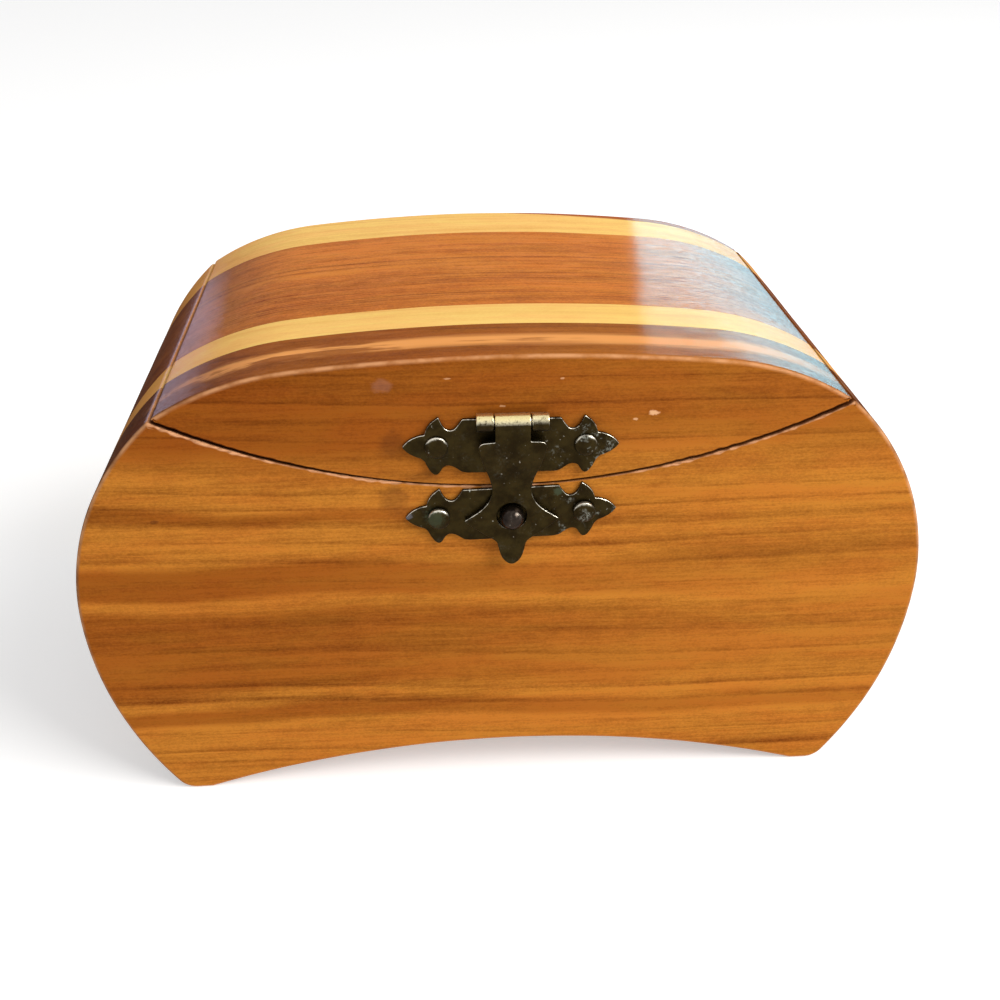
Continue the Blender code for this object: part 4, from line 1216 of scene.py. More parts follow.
def rubbed_and_lit_brass(tree, cloud, grit, speck, up, touched, wear):
    """Rubbed stain and painted highlight: on upper edges, on lit knuckle tops and in specks."""
    # Painted highlight: edges that face up get more bright metal, as if lit from above.
    edge = tree.mark("edge") * up.step(-0.1, 0.6, 0.12, 1.0)
    rubbed_and_lit = edge * cloud.step(0.40, 0.58, 0.45, 1.0) + touched
    rubbed_and_lit = (rubbed_and_lit * grit.step(0.25, 0.55, 0.45, 1.0) * wear).step(0.15, 0.75)
    return rubbed_and_lit.math("MAXIMUM", speck.step(0.70, 0.76) * SPECK_STRENGTH)


def chalky(at, grit, x, chalk):
    """Patches of corrosion, more of them on the right."""
    patch = at.noise(5.0, 0.7, 0.32).step(0.53, 0.66) * grit.step(0.42, 0.6)
    return patch * x.step(4.0, 13.0, 0.06 * chalk, chalk)


def stained_brass(name, stain, metal, wear=1.0, chalk=0.0, gloss=0.36, spots=()):
    """Stain is its two tones, and metal the one of worn, highlighted edges and the bright one."""
    finish, tree, shader = new_finish(name)
    coordinates = tree.node("ShaderNodeTexCoord")
    at = coordinates.other("Object").scaled(TO_MILLIMETRES)
    x, _, z = at.parts()
    up = coordinates.other("Normal").parts()[2]
    cloud, grit, speck = at.noise(4.0, 0.6, 0.45), at.noise(3.0, 0.65, 2.6), at.noise(2.0, 0.7, 1.3)
    touched = tree.mark("touched")
    rubbed_and_lit = rubbed_and_lit_brass(tree, cloud, grit, speck, up, touched, wear)
    bloom = chalky(at, grit, x, chalk)
    tone = tree.mix(cloud.step(0.3, 0.7), *stain)
    # Bright metal of wear, polish and painted highlight.
    tone = tree.mix(rubbed_and_lit, tone, tree.mix(touched, *metal))
    tone = tree.mix(bloom, tone, CHALK)
    for centre, size, strength, mark in spots:
        tone = tree.mix(spot(x, z, centre, size, grit) * strength, tone, mark)
    gloss, metallic = rubbed_and_lit.line(0.0, 1.0, gloss, BARE_GLOSS), bloom.line(0.0, 1.0, 0.92, 0.1)
    bump = tree.node("ShaderNodeBump", Strength=0.25, Distance=0.12 * MM, Height=grit + cloud)
    tree.fill(shader, Base_Color=tone, Roughness=gloss, Metallic=metallic, Normal=bump)
    return finish


print("chalk is", tuple(round(value, 3) for value in CHALK[:3]))

# %% The three kinds of brass
BRIGHT_BRASS = colour(238, 220, 158)
# Greyish white of worn edges, which is also the colour of their painted highlight.
WORN_BRASS_AND_HIGHLIGHT = colour(226, 220, 204)
SCRATCH = colour(214, 218, 204)
PATINA = colour(84, 98, 76)
BLUISH_FILM = colour(126, 126, 136)
KNOB_HEIGHT = sum(corner.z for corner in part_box("catch_knob")) / 2 / MM
# Centre and half size in mm, strength and colour.
LATCH_SPOTS = (
    ((-6.8, KNOB_HEIGHT + 5.3), (1.0, 0.16), 0.8, SCRATCH),
    ((-6.6, KNOB_HEIGHT + 4.9), (0.16, 0.6), 0.7, SCRATCH),
    ((8.7, KNOB_HEIGHT + 4.0), (0.9, 0.9), 0.5, PATINA),
    ((-17.4, KNOB_HEIGHT + 0.2), (1.1, 0.8), 0.55, BLUISH_FILM),
    ((-12.7, KNOB_HEIGHT), (1.9, 1.7), 0.35, PATINA),
)
dark_brass = stained_brass(
    "antique brass", (colour(38, 28, 8), colour(58, 47, 20)), (WORN_BRASS_AND_HIGHLIGHT, BRIGHT_BRASS),
    chalk=0.9, spots=LATCH_SPOTS,
)
knob_brass = stained_brass(
    "knob brass", (colour(36, 30, 26), colour(64, 54, 47)), (WORN_BRASS_AND_HIGHLIGHT, BRIGHT_BRASS),
    wear=0.6, chalk=0.3, gloss=0.12,
)
hinge_brass = stained_brass(
    "hinge brass", (colour(120, 92, 42), colour(160, 128, 66)), (BRIGHT_BRASS, BRIGHT_BRASS),
    wear=0.8,
)
print("the knob stands", round(KNOB_HEIGHT, 1), "mm above the table")

# %% [markdown]
# ## Stamped sheet
# A real plate is punched out of flat sheet with a blunt die, which rounds its edges a little, and
# its tongues are rolled over a pin to make the knuckles. The same order works here: a flat blank is
# built as rings round its outline and its holes, its faces are divided into narrow rows, and the
# rows are rolled up. A tube set against a plate would show a joint that real sheet doesn't have.

# %% Outlines of sheet
SHEET_STEP = 0.16 * MM
SOFT_CORNER = 0.32 * MM


def smooth_run(points):
    """A smooth curve through a few points, both ends included (Catmull-Rom)."""
    padded = [points[0]] + list(points) + [points[-1]]
    run = []
    for i in range(1, len(padded) - 2):
        a, b, c, d = (Vector(point) for point in padded[i - 1 : i + 3])
        steps = max(1, round((c - b).length / SHEET_STEP))
        for t in np.arange(steps) / steps:
            point = b + (c - a) * (t / 2)
            point += (a - b * 2.5 + c * 2 - d * 0.5) * t**2
            point += ((b - c) * 1.5 + (d - a) * 0.5) * t**3
            run.append(tuple(point))
    return np.array(run + [tuple(points[-1])])


def joined_runs(lists, scale, shift=(0.0, 0.0)):
    """Smooth runs that meet in corners, from lists of shares."""
    runs = []
    for shares in lists:
        places = [(x * scale[0] + shift[0], z * scale[1] + shift[1]) for x, z in shares]
        runs.append(smooth_run(places))
    return np.concatenate([run[:-1] for run in runs] + [runs[-1][-1:]])


def polyline(corners):
    """Points along straight runs, without the last corner."""
    runs = []
    for start, end in zip(corners, corners[1:]):
        steps = max(1, round(math.dist(start, end) / SHEET_STEP))
        runs.append(np.linspace(start, end, steps + 1)[:-1])
    return np.concatenate(runs)


def softened_sheet(runs, reach=SOFT_CORNER):
    return softened(np.concatenate(runs), reach, SHEET_STEP)


def round_hole(x, z, radius):
    """A hole is drawn the other way round from an outline."""
    return arc((x, z), radius, 0.0, 2 * math.pi, SHEET_STEP)[:-1]


print("points round a hole of 1 mm:", len(round_hole(0.0, 0.0, MM)))

# %% Blanks
SHEET_EDGE = 0.15 * MM
SHEET_SUPPORT = 0.05 * MM
EDGE_TURNS = 3
FLAT_ROW = 1.2 * MM
ROLLED_ROW = 0.30 * MM


def edge_levels(thickness):
    """Inset, height and wear of each ring from the back face round the edge to the front face."""
    levels = [(SHEET_EDGE + SHEET_SUPPORT, 0.0, 0.0)]
    for k in range(EDGE_TURNS + 1):
        turn = math.pi / 2 * k / EDGE_TURNS
        inset, height = SHEET_EDGE * (1 - math.sin(turn)), SHEET_EDGE * (1 - math.cos(turn))
        levels.append((inset, height, math.sin(2 * turn)))
    return levels + [(inset, thickness - height, wear) for inset, height, wear in levels[::-1]]


def sheet_edge(shape, worn, loop, thickness):
    """Rings round an outline or a hole. Returns the back and the front one."""
    inward = inward_normals(loop)
    grid = []
    for inset, height, wear in edge_levels(thickness):
        row = [shape.verts.new((x, height, z)) for x, z in loop + inward * inset]
        for vertex in row:
            vertex[worn] = wear
        grid.append(row)
    for near, far in zip(grid, grid[1:]):
        for i in range(len(near)):
            shape.faces.new((near[i - 1], near[i], far[i], far[i - 1]))
    return grid[0], grid[-1]


def sheet_face(shape, rims, rows):
    """Fills a face between its rims and cuts it along the rows."""
    rim = [shape.edges.get((ring[i - 1], ring[i])) for ring in rims for i in range(len(ring))]
    filled = bmesh.ops.triangle_fill(shape, use_beauty=False, use_dissolve=False, edges=rim)
    faces = [item for item in filled["geom"] if isinstance(item, bmesh.types.BMFace)]
    pieces = set(faces)
    for face in faces:
        pieces.update(face.edges, face.verts)
    for row in rows:
        cut = bmesh.ops.bisect_plane(
            shape, geom=list(pieces), dist=SHEET_STEP / 3, plane_co=(0, 0, row), plane_no=(0, 0, 1)
        )
        pieces = cut["geom"]


def blank(loops, thickness, rows):
    """A flat sheet with an outline, holes and cross lines where it will bend. Height is along y."""
    shape = bmesh.new()
    worn = shape.verts.layers.float.new("edge")
    shape.verts.layers.float.new("touched")
    rims = [sheet_edge(shape, worn, loop, thickness) for loop in loops]
    for back_or_front in zip(*rims):
        sheet_face(shape, back_or_front, rows)
    return few_cornered(shape)


def bent(shape, bend):
    """Moves each point of a blank to its bent place, and gives its polish and painted highlight."""
    touched = shape.verts.layers.float["touched"]
    for vertex in shape.verts:
        vertex.co, vertex[touched] = bend(*vertex.co)
    return outwards(shape)


def rolled(axis, radius, depth, run, side, way):
    """Place in y and z of a point of a sheet that rolls over an axis.

    Depth is measured from the outside of the roll and run from the level of the axis. Side says on
    which side of the axis the flat sheet lies, and way whether it comes from below or from above.
    """
    angle = max(run, 0.0) / radius
    y = axis.y + side * (radius - depth) * math.cos(angle)
    z = axis.z + way * ((radius - depth) * math.sin(angle) + min(run, 0.0))
    return y, z, angle


def rows_between(low, high, spacing):
    count = max(1, round((high - low) / spacing))
    return [low + (high - low) * k / count for k in range(1, count)]


print("rings round the edge of a sheet:", len(edge_levels(MM)))

# %% [markdown]
# ## Latch plates
# Both plates are one stamping, scalloped with pointed ends and nailed to the front face. Its upper
# lobes came out sharp and its lower ones blunt. The lid's plate has two tongues that are rolled
# into knuckles, with a gap between them for the hasp's own. Neither plate was nailed on level.

# %% Sizes of the latch plates
PLATE_HALF = (18.25 * MM, 5.0 * MM)
PLATE_SHEET = 0.7 * MM
# Smooth runs as shares of the half length and the half height, from the middle to the end.
UPPER_SHARES = (
    [(0.455, 1.0), (0.490, 0.80), (0.535, 0.62), (0.585, 0.61), (0.628, 0.74), (0.672, 1.08)],
    [(0.672, 1.08), (0.735, 0.90), (0.780, 0.68), (0.800, 0.44)],
    [(0.800, 0.44), (0.860, 0.40), (0.935, 0.27), (0.985, 0.10), (1.005, 0.0)],
)
LOWER_SHARES = (
    [(0.400, 1.0), (0.455, 0.96), (0.505, 0.83), (0.550, 0.735), (0.590, 0.715), (0.625, 0.77),
     (0.652, 0.92), (0.676, 1.04), (0.705, 1.06), (0.738, 0.97), (0.775, 0.75), (0.800, 0.55),
     (0.835, 0.43)],
    [(0.835, 0.43), (0.880, 0.37), (0.940, 0.25), (0.985, 0.10), (1.005, 0.0)],
)
NAIL_SPACING = 25.2 * MM
NAIL_HOLE = 0.8 * MM
KNOB_HOLE = 1.2 * MM
BARREL_RADIUS = 1.6 * MM
BARREL_TURN = math.radians(303)
KNUCKLE_WIDTH = 2.85 * MM
HASP_KNUCKLE_HALF = 2.95 * MM
KNUCKLE_GAP = 0.25 * MM
AXIS_RISE = 4.8 * MM
PLATE_TILT = math.radians(-0.8)
CATCH_TILT = math.radians(1.0)
# Where the knuckles are polished and carry a painted highlight: their lit upper front, less on the
# right.
POLISH_AND_HIGHLIGHT_ANGLE = math.radians(112)
RIGHT_POLISH_AND_HIGHLIGHT = 0.8

catch_low, catch_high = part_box("catch_plate")
LATCH_AXIS = (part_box("hasp_pin")[0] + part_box("hasp_pin")[1]) / 2
WOOD_SIDE = catch_high.y
CATCH_CENTRE = Vector((LATCH_AXIS.x, WOOD_SIDE, (catch_low.z + catch_high.z) / 2))
PLATE_CENTRE = Vector((LATCH_AXIS.x, WOOD_SIDE, LATCH_AXIS.z - AXIS_RISE))
KNOB_DROP = LATCH_AXIS.z - CATCH_CENTRE.z
print("the knob lies", round(KNOB_DROP / MM, 2), "mm below the hasp's pin")


# %% The latch's two plates
def plate_outline(tongues):
    """Clockwise outline of a plate. Its tongues stand on the top edge, ready to be rolled."""
    upper = joined_runs(UPPER_SHARES, PLATE_HALF)
    lower = joined_runs(LOWER_SHARES, (PLATE_HALF[0], -PLATE_HALF[1]))
    right = np.concatenate((upper, lower[::-1][1:]))
    left = mirrored(right)
    bottom = polyline([tuple(right[-1]), tuple(left[0])])[1:]
    corners = [tuple(left[-1]), tuple(right[0])]
    if tongues:
        inner = HASP_KNUCKLE_HALF + KNUCKLE_GAP
        outer = inner + KNUCKLE_WIDTH
        edge, end = PLATE_HALF[1], AXIS_RISE + BARREL_RADIUS * BARREL_TURN
        floor = AXIS_RISE - BARREL_RADIUS - KNUCKLE_GAP
        half = [(outer, edge), (outer, end), (inner, end), (inner, floor)]
        corners[1:1] = [(-x, z) for x, z in half] + half[::-1]
    return softened_sheet((right, bottom, left, polyline(corners)[1:]))


def tilted(place, centre, angle):
    """Turns a place about a centre in the plane of the front face."""
    return centre + Matrix.Rotation(-angle, 3, "Y") @ (place - centre)


def polish_and_highlight(angle, middle):
    """Finger polish and painted highlight on a knuckle: most round one angle of its roll."""
    return max(0.0, math.cos(angle - middle)) ** 2


def latch_plate_bend(x, height, z):
    if abs(x) > HASP_KNUCKLE_HALF + 2 * KNUCKLE_GAP + KNUCKLE_WIDTH:
        place = Vector((LATCH_AXIS.x + x, WOOD_SIDE - height, PLATE_CENTRE.z + z))
        return tilted(place, LATCH_AXIS, PLATE_TILT), 0.0
    run = z - AXIS_RISE
    y, z, angle = rolled(LATCH_AXIS, BARREL_RADIUS, height, run, 1, 1)
    # Polish with a painted highlight on the lit upper front of the knuckles.
    polish_and_light = polish_and_highlight(angle, POLISH_AND_HIGHLIGHT_ANGLE) if run > 0 and height < PLATE_SHEET / 2 else 0.0
    place = tilted(Vector((LATCH_AXIS.x + x, y, z)), LATCH_AXIS, PLATE_TILT)
    return place, polish_and_light * (1.0 if x < 0 else RIGHT_POLISH_AND_HIGHLIGHT)


def catch_plate_bend(x, height, z):
    return tilted(CATCH_CENTRE + Vector((x, -height, z)), CATCH_CENTRE, CATCH_TILT), 0.0


nail_holes = [round_hole(side * NAIL_SPACING / 2, 0.0, NAIL_HOLE) for side in (-1, 1)]
flat_rows = rows_between(-PLATE_HALF[1], PLATE_HALF[1], FLAT_ROW)
tongue_rows = rows_between(AXIS_RISE, AXIS_RISE + BARREL_RADIUS * BARREL_TURN, ROLLED_ROW)
rows = flat_rows + [AXIS_RISE] + tongue_rows
sheet = bent(blank([plate_outline(True), *nail_holes], PLATE_SHEET, rows), latch_plate_bend)
finished("stamped_latch_plate", sheet, dark_brass, "lid", ["latch_plate"])
holes = [*nail_holes, round_hole(0.0, 0.0, KNOB_HOLE)]
sheet = bent(blank([plate_outline(False), *holes], PLATE_SHEET, flat_rows), catch_plate_bend)
finished("stamped_catch_plate", sheet, dark_brass, "box", ["catch_plate"])

# %% [markdown]
# ## Hasp
# The hasp is a strap with its own knuckle. It hangs from the pin, leans back to the body and flares
# out like a bell round the hole for the knob, so it is one more blank with another bend.

# %% The swinging strap
HASP_SHEET = 0.8 * MM
HASP_HALF = 8.2 * MM
TONGUE_LENGTH = 9.3 * MM
HASP_STANDOFF = 0.25 * MM
TIP_LIFT = 0.7 * MM
HASP_HOLE = 2.55 * MM
HASP_TURN = math.radians(285)
HASP_POLISH_AND_HIGHLIGHT_ANGLE = math.radians(60)
# Smooth runs as shares of the half width and of the drop to the knob or the tongue's length.
BODY_SHARES = (
    [(0.360, 0.165), (0.600, 0.172), (0.675, 0.195), (0.700, 0.235)],
    [(0.700, 0.235), (0.610, 0.400), (0.480, 0.560), (0.415, 0.680), (0.418, 0.760)],
    [(0.418, 0.760), (0.500, 0.850), (0.680, 0.940), (1.000, 1.040)],
)
TONGUE_SHARES = (
    [(0.970, 0.115), (0.700, 0.300), (0.400, 0.480), (0.310, 0.560), (0.270, 0.700)],
    [(0.270, 0.700), (0.215, 0.850), (0.130, 0.950), (0.040, 1.0)],
)
BEND_START_SHARE = 0.15
BEND_END_SHARE = 0.75


def hasp_outline():
    """Clockwise outline of the blank. Its z is 0 at the axis, and the neck above is rolled."""
    body = joined_runs(BODY_SHARES, (HASP_HALF, -KNOB_DROP))
    tongue = joined_runs(TONGUE_SHARES, (HASP_HALF, -TONGUE_LENGTH), (0.0, -KNOB_DROP))
    end = BARREL_RADIUS * HASP_TURN
    neck = polyline([(-HASP_KNUCKLE_HALF, end), (HASP_KNUCKLE_HALF, end), tuple(body[0])])
    start = round(2 * HASP_KNUCKLE_HALF / SHEET_STEP)
    corner = polyline([tuple(body[-1]), tuple(tongue[0])])[1:]
    right = np.concatenate((neck[start:], body, corner, tongue))
    tip = polyline([tuple(right[-1]), tuple(right[-1] * (-1, 1))])[1:]
    return softened_sheet((neck[:start], right, tip, mirrored(right)[:-1]))


def hasp_face(drop):
    """How far in front of the axis the hasp's outer face lies at a drop below it."""
    rest = PLATE_SHEET + HASP_STANDOFF + HASP_SHEET - BARREL_RADIUS
    start, end = BEND_START_SHARE * KNOB_DROP, BEND_END_SHARE * KNOB_DROP
    share = min(max((drop - start) / (end - start), 0.0), 1.0)
    lean = (rest - BARREL_RADIUS) * share * share * (3 - 2 * share)
    tip = max((drop - KNOB_DROP) / TONGUE_LENGTH, 0.0)
    return BARREL_RADIUS + lean + TIP_LIFT * tip * tip


def hasp_bend(x, height, z):
    depth = HASP_SHEET - height
    if z <= 0.0:
        return LATCH_AXIS + Vector((x, depth - hasp_face(-z), z)), 0.0
    thinned = 1 - (1 - PLATE_SHEET / HASP_SHEET) * min(1.0, z / BARREL_RADIUS)
    y, z, angle = rolled(LATCH_AXIS, BARREL_RADIUS, depth * thinned, z, -1, 1)
    # Polish with a painted highlight on the lit front of the hasp's knuckle.
    polish_and_light = polish_and_highlight(angle, HASP_POLISH_AND_HIGHLIGHT_ANGLE) if height > HASP_SHEET / 2 else 0.0
    return Vector((LATCH_AXIS.x + x, y, z)), polish_and_light


hole = round_hole(0.0, -KNOB_DROP, HASP_HOLE)
rows = rows_between(-KNOB_DROP - TONGUE_LENGTH, 0.0, FLAT_ROW / 2)
rows += [0.0] + rows_between(0.0, BARREL_RADIUS * HASP_TURN, ROLLED_ROW)
sheet = bent(blank([hasp_outline(), hole], HASP_SHEET, rows), hasp_bend)
finished("stamped_hasp", sheet, dark_brass, "hasp", ["hasp"])

# %% [markdown]
# ## Turned pieces
# The knob, the pins and the nails are turned: half a profile is spun round an axis. The knob is a
# ball on a neck, which the hasp drops over. A lathe modifier could do it too, but these few lines
# also keep which rings are worn.

# %% Knob and pins
TURNED_SIDES = 40
PIN_CHAMFER = 0.15 * MM
KNOB_RADIUS = 2.2 * MM
KNOB_REACH = 3.5 * MM
KNOB_NECK = 1.5 * MM
KNOB_SHANK = 1.1 * MM
KNOB_ROOT = 5.0 * MM
BALL_STEPS = 18
BALL_WORN_STEPS = 7
BALL_WEAR = 0.5
SEAT = 0.1 * MM
TO_FRONT = Matrix.Rotation(math.radians(90), 4, "X")
TO_BACK = Matrix.Rotation(math.radians(-90), 4, "X")
TO_SIDE = Matrix.Rotation(math.radians(90), 4, "Y")


def turned(profile, place, turn, sides=TURNED_SIDES):
    """Spins a profile of (radius, height, wear), whose ends lie on the axis, and sets it down."""
    shape = bmesh.new()
    worn = shape.verts.layers.float.new("edge")
    shape.verts.layers.float.new("touched")
    rings = []
    for radius, height, wear in profile:
        angles = np.arange(sides if radius > 0 else 1) * 2 * math.pi / sides
        flat = [(radius * math.cos(angle), radius * math.sin(angle)) for angle in angles]
        ring = [shape.verts.new((x, y, height)) for x, y in flat]
        for vertex in ring:
            vertex[worn] = wear
        rings.append(ring)
    for near, far in zip(rings, rings[1:]):
        for k in range(sides):
            corners = [near[k % len(near)], near[(k + 1) % len(near)]]
            corners += [far[(k + 1) % len(far)], far[k % len(far)]]
            shape.faces.new(list(dict.fromkeys(corners)))
    bmesh.ops.transform(shape, matrix=Matrix.Translation(place) @ turn, verts=shape.verts)
    return outwards(shape)


def ball_profile():
    profile = [(0.0, KNOB_REACH, BALL_WEAR)]
    neck_angle = math.pi - math.asin(KNOB_NECK / KNOB_RADIUS)
    for k in range(1, BALL_STEPS + 1):
        angle = neck_angle * k / BALL_STEPS
        height = KNOB_REACH - KNOB_RADIUS * (1 - math.cos(angle))
        wear = BALL_WEAR if k <= BALL_WORN_STEPS else 0.0
        profile.append((KNOB_RADIUS * math.sin(angle), height, wear))
    stem = [(KNOB_NECK, 0.0), (KNOB_SHANK, 0.0), (KNOB_SHANK, -KNOB_ROOT), (0.0, -KNOB_ROOT)]
    return profile + [(radius, height, 0.0) for radius, height in stem]


def pin_profile(radius, half):
    inner = half - PIN_CHAMFER
    side = [(0.0, half, 0.2), (radius - PIN_CHAMFER, half, 0.8), (radius, inner, 0.8)]
    return side + [(r, -height, wear) for r, height, wear in side[::-1]]


def make_pin(name, node, finish, body):
    low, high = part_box(node)
    profile = pin_profile((high.z - low.z) / 2, (high.x - low.x) / 2)
    shape = turned(profile, (low + high) / 2, TO_SIDE)
    return finished(name, shape, finish, body, [node])


knob_seat = CATCH_CENTRE - Vector((0.0, PLATE_SHEET + SEAT, 0.0))
knob = turned(ball_profile(), knob_seat, TO_FRONT)
finished("turned_knob", knob, knob_brass, "box", ["catch_knob"])
make_pin("turned_hasp_pin", "hasp_pin", dark_brass, "lid")
for hand in ("left", "right"):
    make_pin(f"turned_hinge_{hand}_pin", f"hinge_{hand}_pin", hinge_brass, "box")

# %% [markdown]
# ## Hinges
# Two small brass butt hinges carry the lid at the back. Each leaf is one more blank: the body's
# leaf has two tongues and the lid's leaf one, and all are rolled outwards over the same pin.

# %% Hinge leaves
HINGE_HALF = 8.0 * MM
HINGE_SHEET = 0.7 * MM
HINGE_BARREL = 1.4 * MM
HINGE_TURN = math.radians(298)
HINGE_NEAR = 1.65 * MM
HINGE_FAR = 9.15 * MM
HINGE_CORNER = 1.0 * MM
HINGE_NAIL_SPACING = 10.0 * MM
HINGE_NAIL_HOLE = 0.6 * MM


def leaf_outline(spans):
    """Clockwise outline of a leaf below its axis, with a tongue for each span."""
    turn = (HINGE_HALF - HINGE_CORNER, HINGE_CORNER - HINGE_FAR)
    corner = arc(turn, HINGE_CORNER, 0.0, -math.pi / 2, SHEET_STEP)
    side = np.concatenate((polyline([(HINGE_HALF, -HINGE_NEAR), tuple(corner[0])]), corner))
    bottom = polyline([tuple(side[-1]), tuple(side[-1] * (-1, 1))])[1:]
    corners = [(-HINGE_HALF, -HINGE_NEAR)]
    end = HINGE_BARREL * HINGE_TURN
    for left, right in spans:
        corners += [(left, -HINGE_NEAR), (left, end), (right, end), (right, -HINGE_NEAR)]
    corners = list(dict.fromkeys(corners + [(HINGE_HALF, -HINGE_NEAR)]))
    return softened_sheet((side, bottom, mirrored(side), polyline(corners)[1:]), SOFT_CORNER / 2)


def make_leaf(hand, body, spans, way):
    """Rolls and dresses a leaf, and returns the places of its two nails."""
    node = f"hinge_{hand}_{'body' if body == 'box' else 'lid'}_leaf"
    pin_low, pin_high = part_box(f"hinge_{hand}_pin")
    axis = (pin_low + pin_high) / 2

    def bend(x, height, z):
        y, z, _ = rolled(axis, HINGE_BARREL, height, z, -1, way)
        return Vector((axis.x + x, y, z)), 0.0

    sides = (-HINGE_NAIL_SPACING / 2, HINGE_NAIL_SPACING / 2)
    drop = (HINGE_NEAR + HINGE_FAR) / 2
    holes = [round_hole(x, -drop, HINGE_NAIL_HOLE) for x in sides]
    rows = rows_between(-HINGE_FAR, 0.0, FLAT_ROW) + [0.0]
    rows += rows_between(0.0, HINGE_BARREL * HINGE_TURN, ROLLED_ROW)
    sheet = bent(blank([leaf_outline(spans), *holes], HINGE_SHEET, rows), bend)
    finished("rolled_" + node, sheet, hinge_brass, body, [node])
    return [axis + Vector((x, 0.0, way * -drop)) for x in sides]


third = (2 * HINGE_HALF - 2 * KNUCKLE_GAP) / 3
outer_spans = [(-HINGE_HALF, -HINGE_HALF + third), (HINGE_HALF - third, HINGE_HALF)]
hinge_nails = {"box": [], "lid": []}
for hand in ("left", "right"):
    hinge_nails["box"] += make_leaf(hand, "box", outer_spans, 1)
    hinge_nails["lid"] += make_leaf(hand, "lid", [(-third / 2, third / 2)], -1)

# %% [markdown]
# ## Nails
# Four round-headed nails hold the latch and eight smaller ones the hinges. They repeat, so a
# Geometry Nodes tree puts a nail on every point of a small mesh and tilts and turns each a little,
# as a hammer does. The result is baked, so each set of nails is one plain mesh.

# %% Geometry Nodes tree for the nails
NAIL_INPUTS = {
    "Points": ("Geometry", None),
    "Nail": ("Object", None),
    "Tilt": ("Float", 0.04),
    "Size spread": ("Float", 0.02),
    "Seed": ("Int", 1),
    "Finish": ("Material", None),
}


def nailing_tree():
    tree, given, keys = new_group("nailing", NAIL_INPUTS, "Nails")
    nail = tree.node("GeometryNodeObjectInfo", Object=given["Nail"]).other("Geometry")
    tilt, spread, seed = given["Tilt"], given["Size spread"], given["Seed"]
    turn = random_turn(tree, (tilt * -1.0, -math.pi, tilt * -1.0), (tilt, math.pi, tilt), seed)
    size = random_size(tree, spread * -1.0 + 1.0, spread + 1.0, seed)
    placing = {"Points": given["Points"], "Rotation": turn, "Scale": size}
    made = tree.node("GeometryNodeInstanceOnPoints", Instance=nail, **placing)
    real_pieces(tree, made, given["Finish"])
    return tree.tree, keys


nailing, nailing_keys = nailing_tree()
print("inputs of the nailing tree:", *nailing_keys)

# %% Nails of the latch and of the hinges
NAIL_SIDES = 32
CROWN_STEPS = 8
STRAIGHT_SHANK = 0.8
NAILS_PROUD = 0.25 * MM
# Radius and height of the head, height of its rim, radius of the shank and length, in mm.
LOW_NAIL = (1.95, 0.8, 0.25, 0.7, 9.0)
TALL_NAIL = (1.9, 1.1, 0.6, 0.7, 9.0)
SMALL_NAIL = (1.2, 0.5, 0.15, 0.5, 6.5)


def nail_pattern(name, sizes, turn):
    """A nail spun from its profile, from the crown of the head to the point."""
    head, height, rim, shank, length = (size * MM for size in sizes)
    profile = [(0.0, height, 0.0)]
    for angle in np.linspace(0, math.pi / 2, CROWN_STEPS + 1)[1:]:
        level = rim + (height - rim) * math.cos(angle)
        profile.append((head * math.sin(angle), level, math.sin(angle) ** 4))
    profile += [(head, SEAT, 0.3), (head - SEAT, 0.0, 0.0), (shank, 0.0, 0.0)]
    profile += [(shank, -STRAIGHT_SHANK * length, 0.0), (0.0, -length, 0.0)]
    return pattern(name, turned(profile, Vector(), turn, NAIL_SIDES))


def nail_set(name, nail, places, finish, seed, body, replaces):
    points = bpy.data.meshes.new(name + "_points")
    points.from_pydata([tuple(place) for place in places], [], [])
    values = {"Nail": nail, "Seed": seed, "Finish": finish}
    mesh = baked(name, points, nailing, nailing_keys, values)
    return dressed(name, mesh, body, replaces)


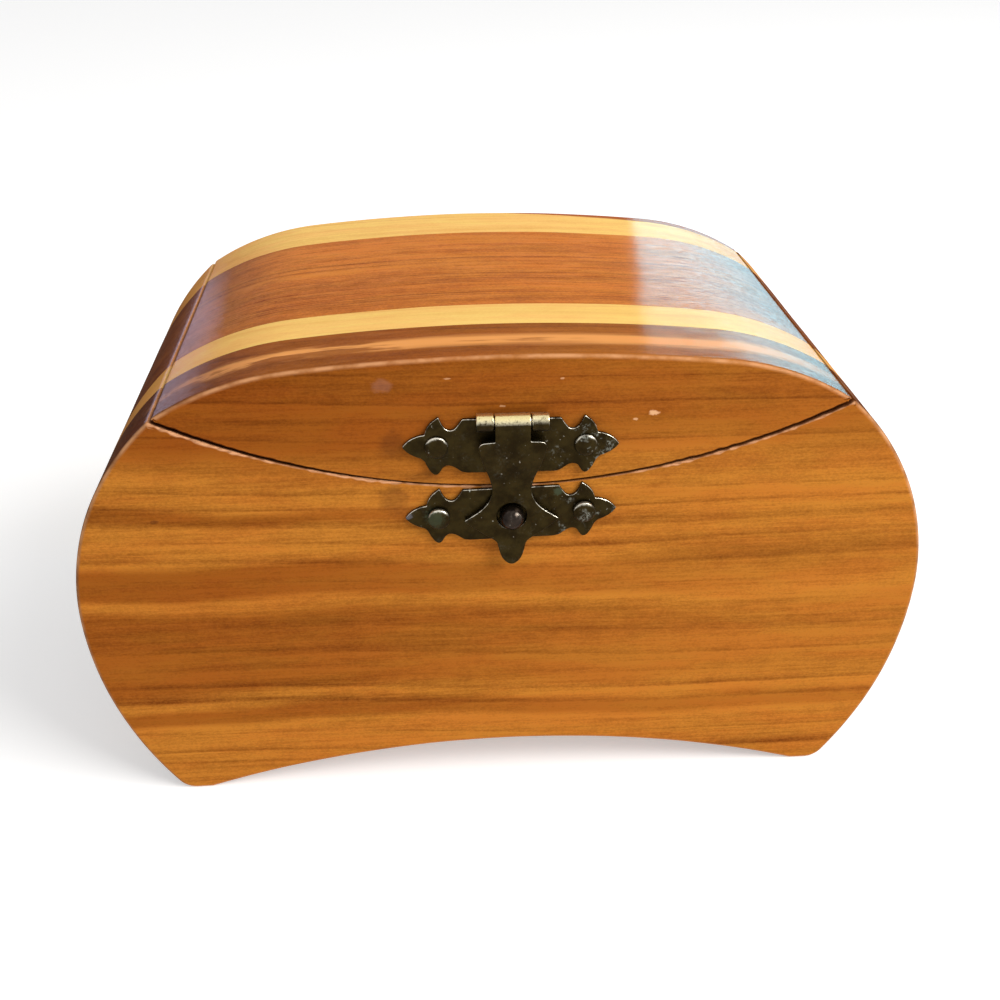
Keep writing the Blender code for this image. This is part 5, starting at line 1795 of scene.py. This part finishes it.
def latch_nail_set(name, nail, centre, tilt_centre, tilt, proud, seed, body):
    """The two nails of a latch plate."""
    out = -PLATE_SHEET - SEAT - proud
    seats = [centre + Vector((side * NAIL_SPACING / 2, out, 0)) for side in (-1, 1)]
    places = [tilted(seat, tilt_centre, tilt) for seat in seats]
    replaces = [f"{name[:-1]}_{hand}" for hand in ("left", "right")]
    nail_set(name, nail, places, dark_brass, seed, body, replaces)


low_nail = nail_pattern("low_nail", LOW_NAIL, TO_FRONT)
tall_nail = nail_pattern("tall_nail", TALL_NAIL, TO_FRONT)
small_nail = nail_pattern("small_nail", SMALL_NAIL, TO_BACK)
latch_nail_set(
    "latch_nails", low_nail, PLATE_CENTRE, LATCH_AXIS, PLATE_TILT, proud=0.0, seed=3, body="lid"
)
latch_nail_set(
    "catch_nails", tall_nail, CATCH_CENTRE, CATCH_CENTRE, CATCH_TILT, proud=NAILS_PROUD, seed=5,
    body="box",
)
hinge_seat = Vector((0.0, HINGE_SHEET - HINGE_BARREL + SEAT, 0.0))
for body, places in hinge_nails.items():
    leaf = "body" if body == "box" else "lid"
    nails = [f"hinge_{hand}_{leaf}_nail_{k}" for hand in ("left", "right") for k in (1, 2)]
    seats = [place + hinge_seat for place in places]
    name = "hinge_nails_" + body
    nail_set(name, small_nail, seats, hinge_brass, 7, body, nails)

# %% [markdown]
# ## Lamps that light only some pieces
# The window and the pale wall are seen in varnish only, so the brass and the floor must not catch
# them. The fill belongs to the box's back and would wash out the floor's shadow. Blender can tie a
# lamp to a collection of objects, which is done last, when all the pieces are there.


# %% Tie the lamps to their pieces
def shine_on(light, pieces):
    """Keeps a lamp's light off everything but some pieces."""
    lit = bpy.data.collections.new("lit by " + light.name)
    for piece in pieces:
        lit.objects.link(piece)
    light.light_linking.receiver_collection = lit


meshes = [piece for piece in bpy.context.scene.objects if piece.type == "MESH"]
varnished = [piece for piece in meshes if piece.name.startswith("sawn_")]
shine_on(window, varnished)
shine_on(pale_wall, varnished)
shine_on(fill, [piece for piece in meshes if piece != floor])
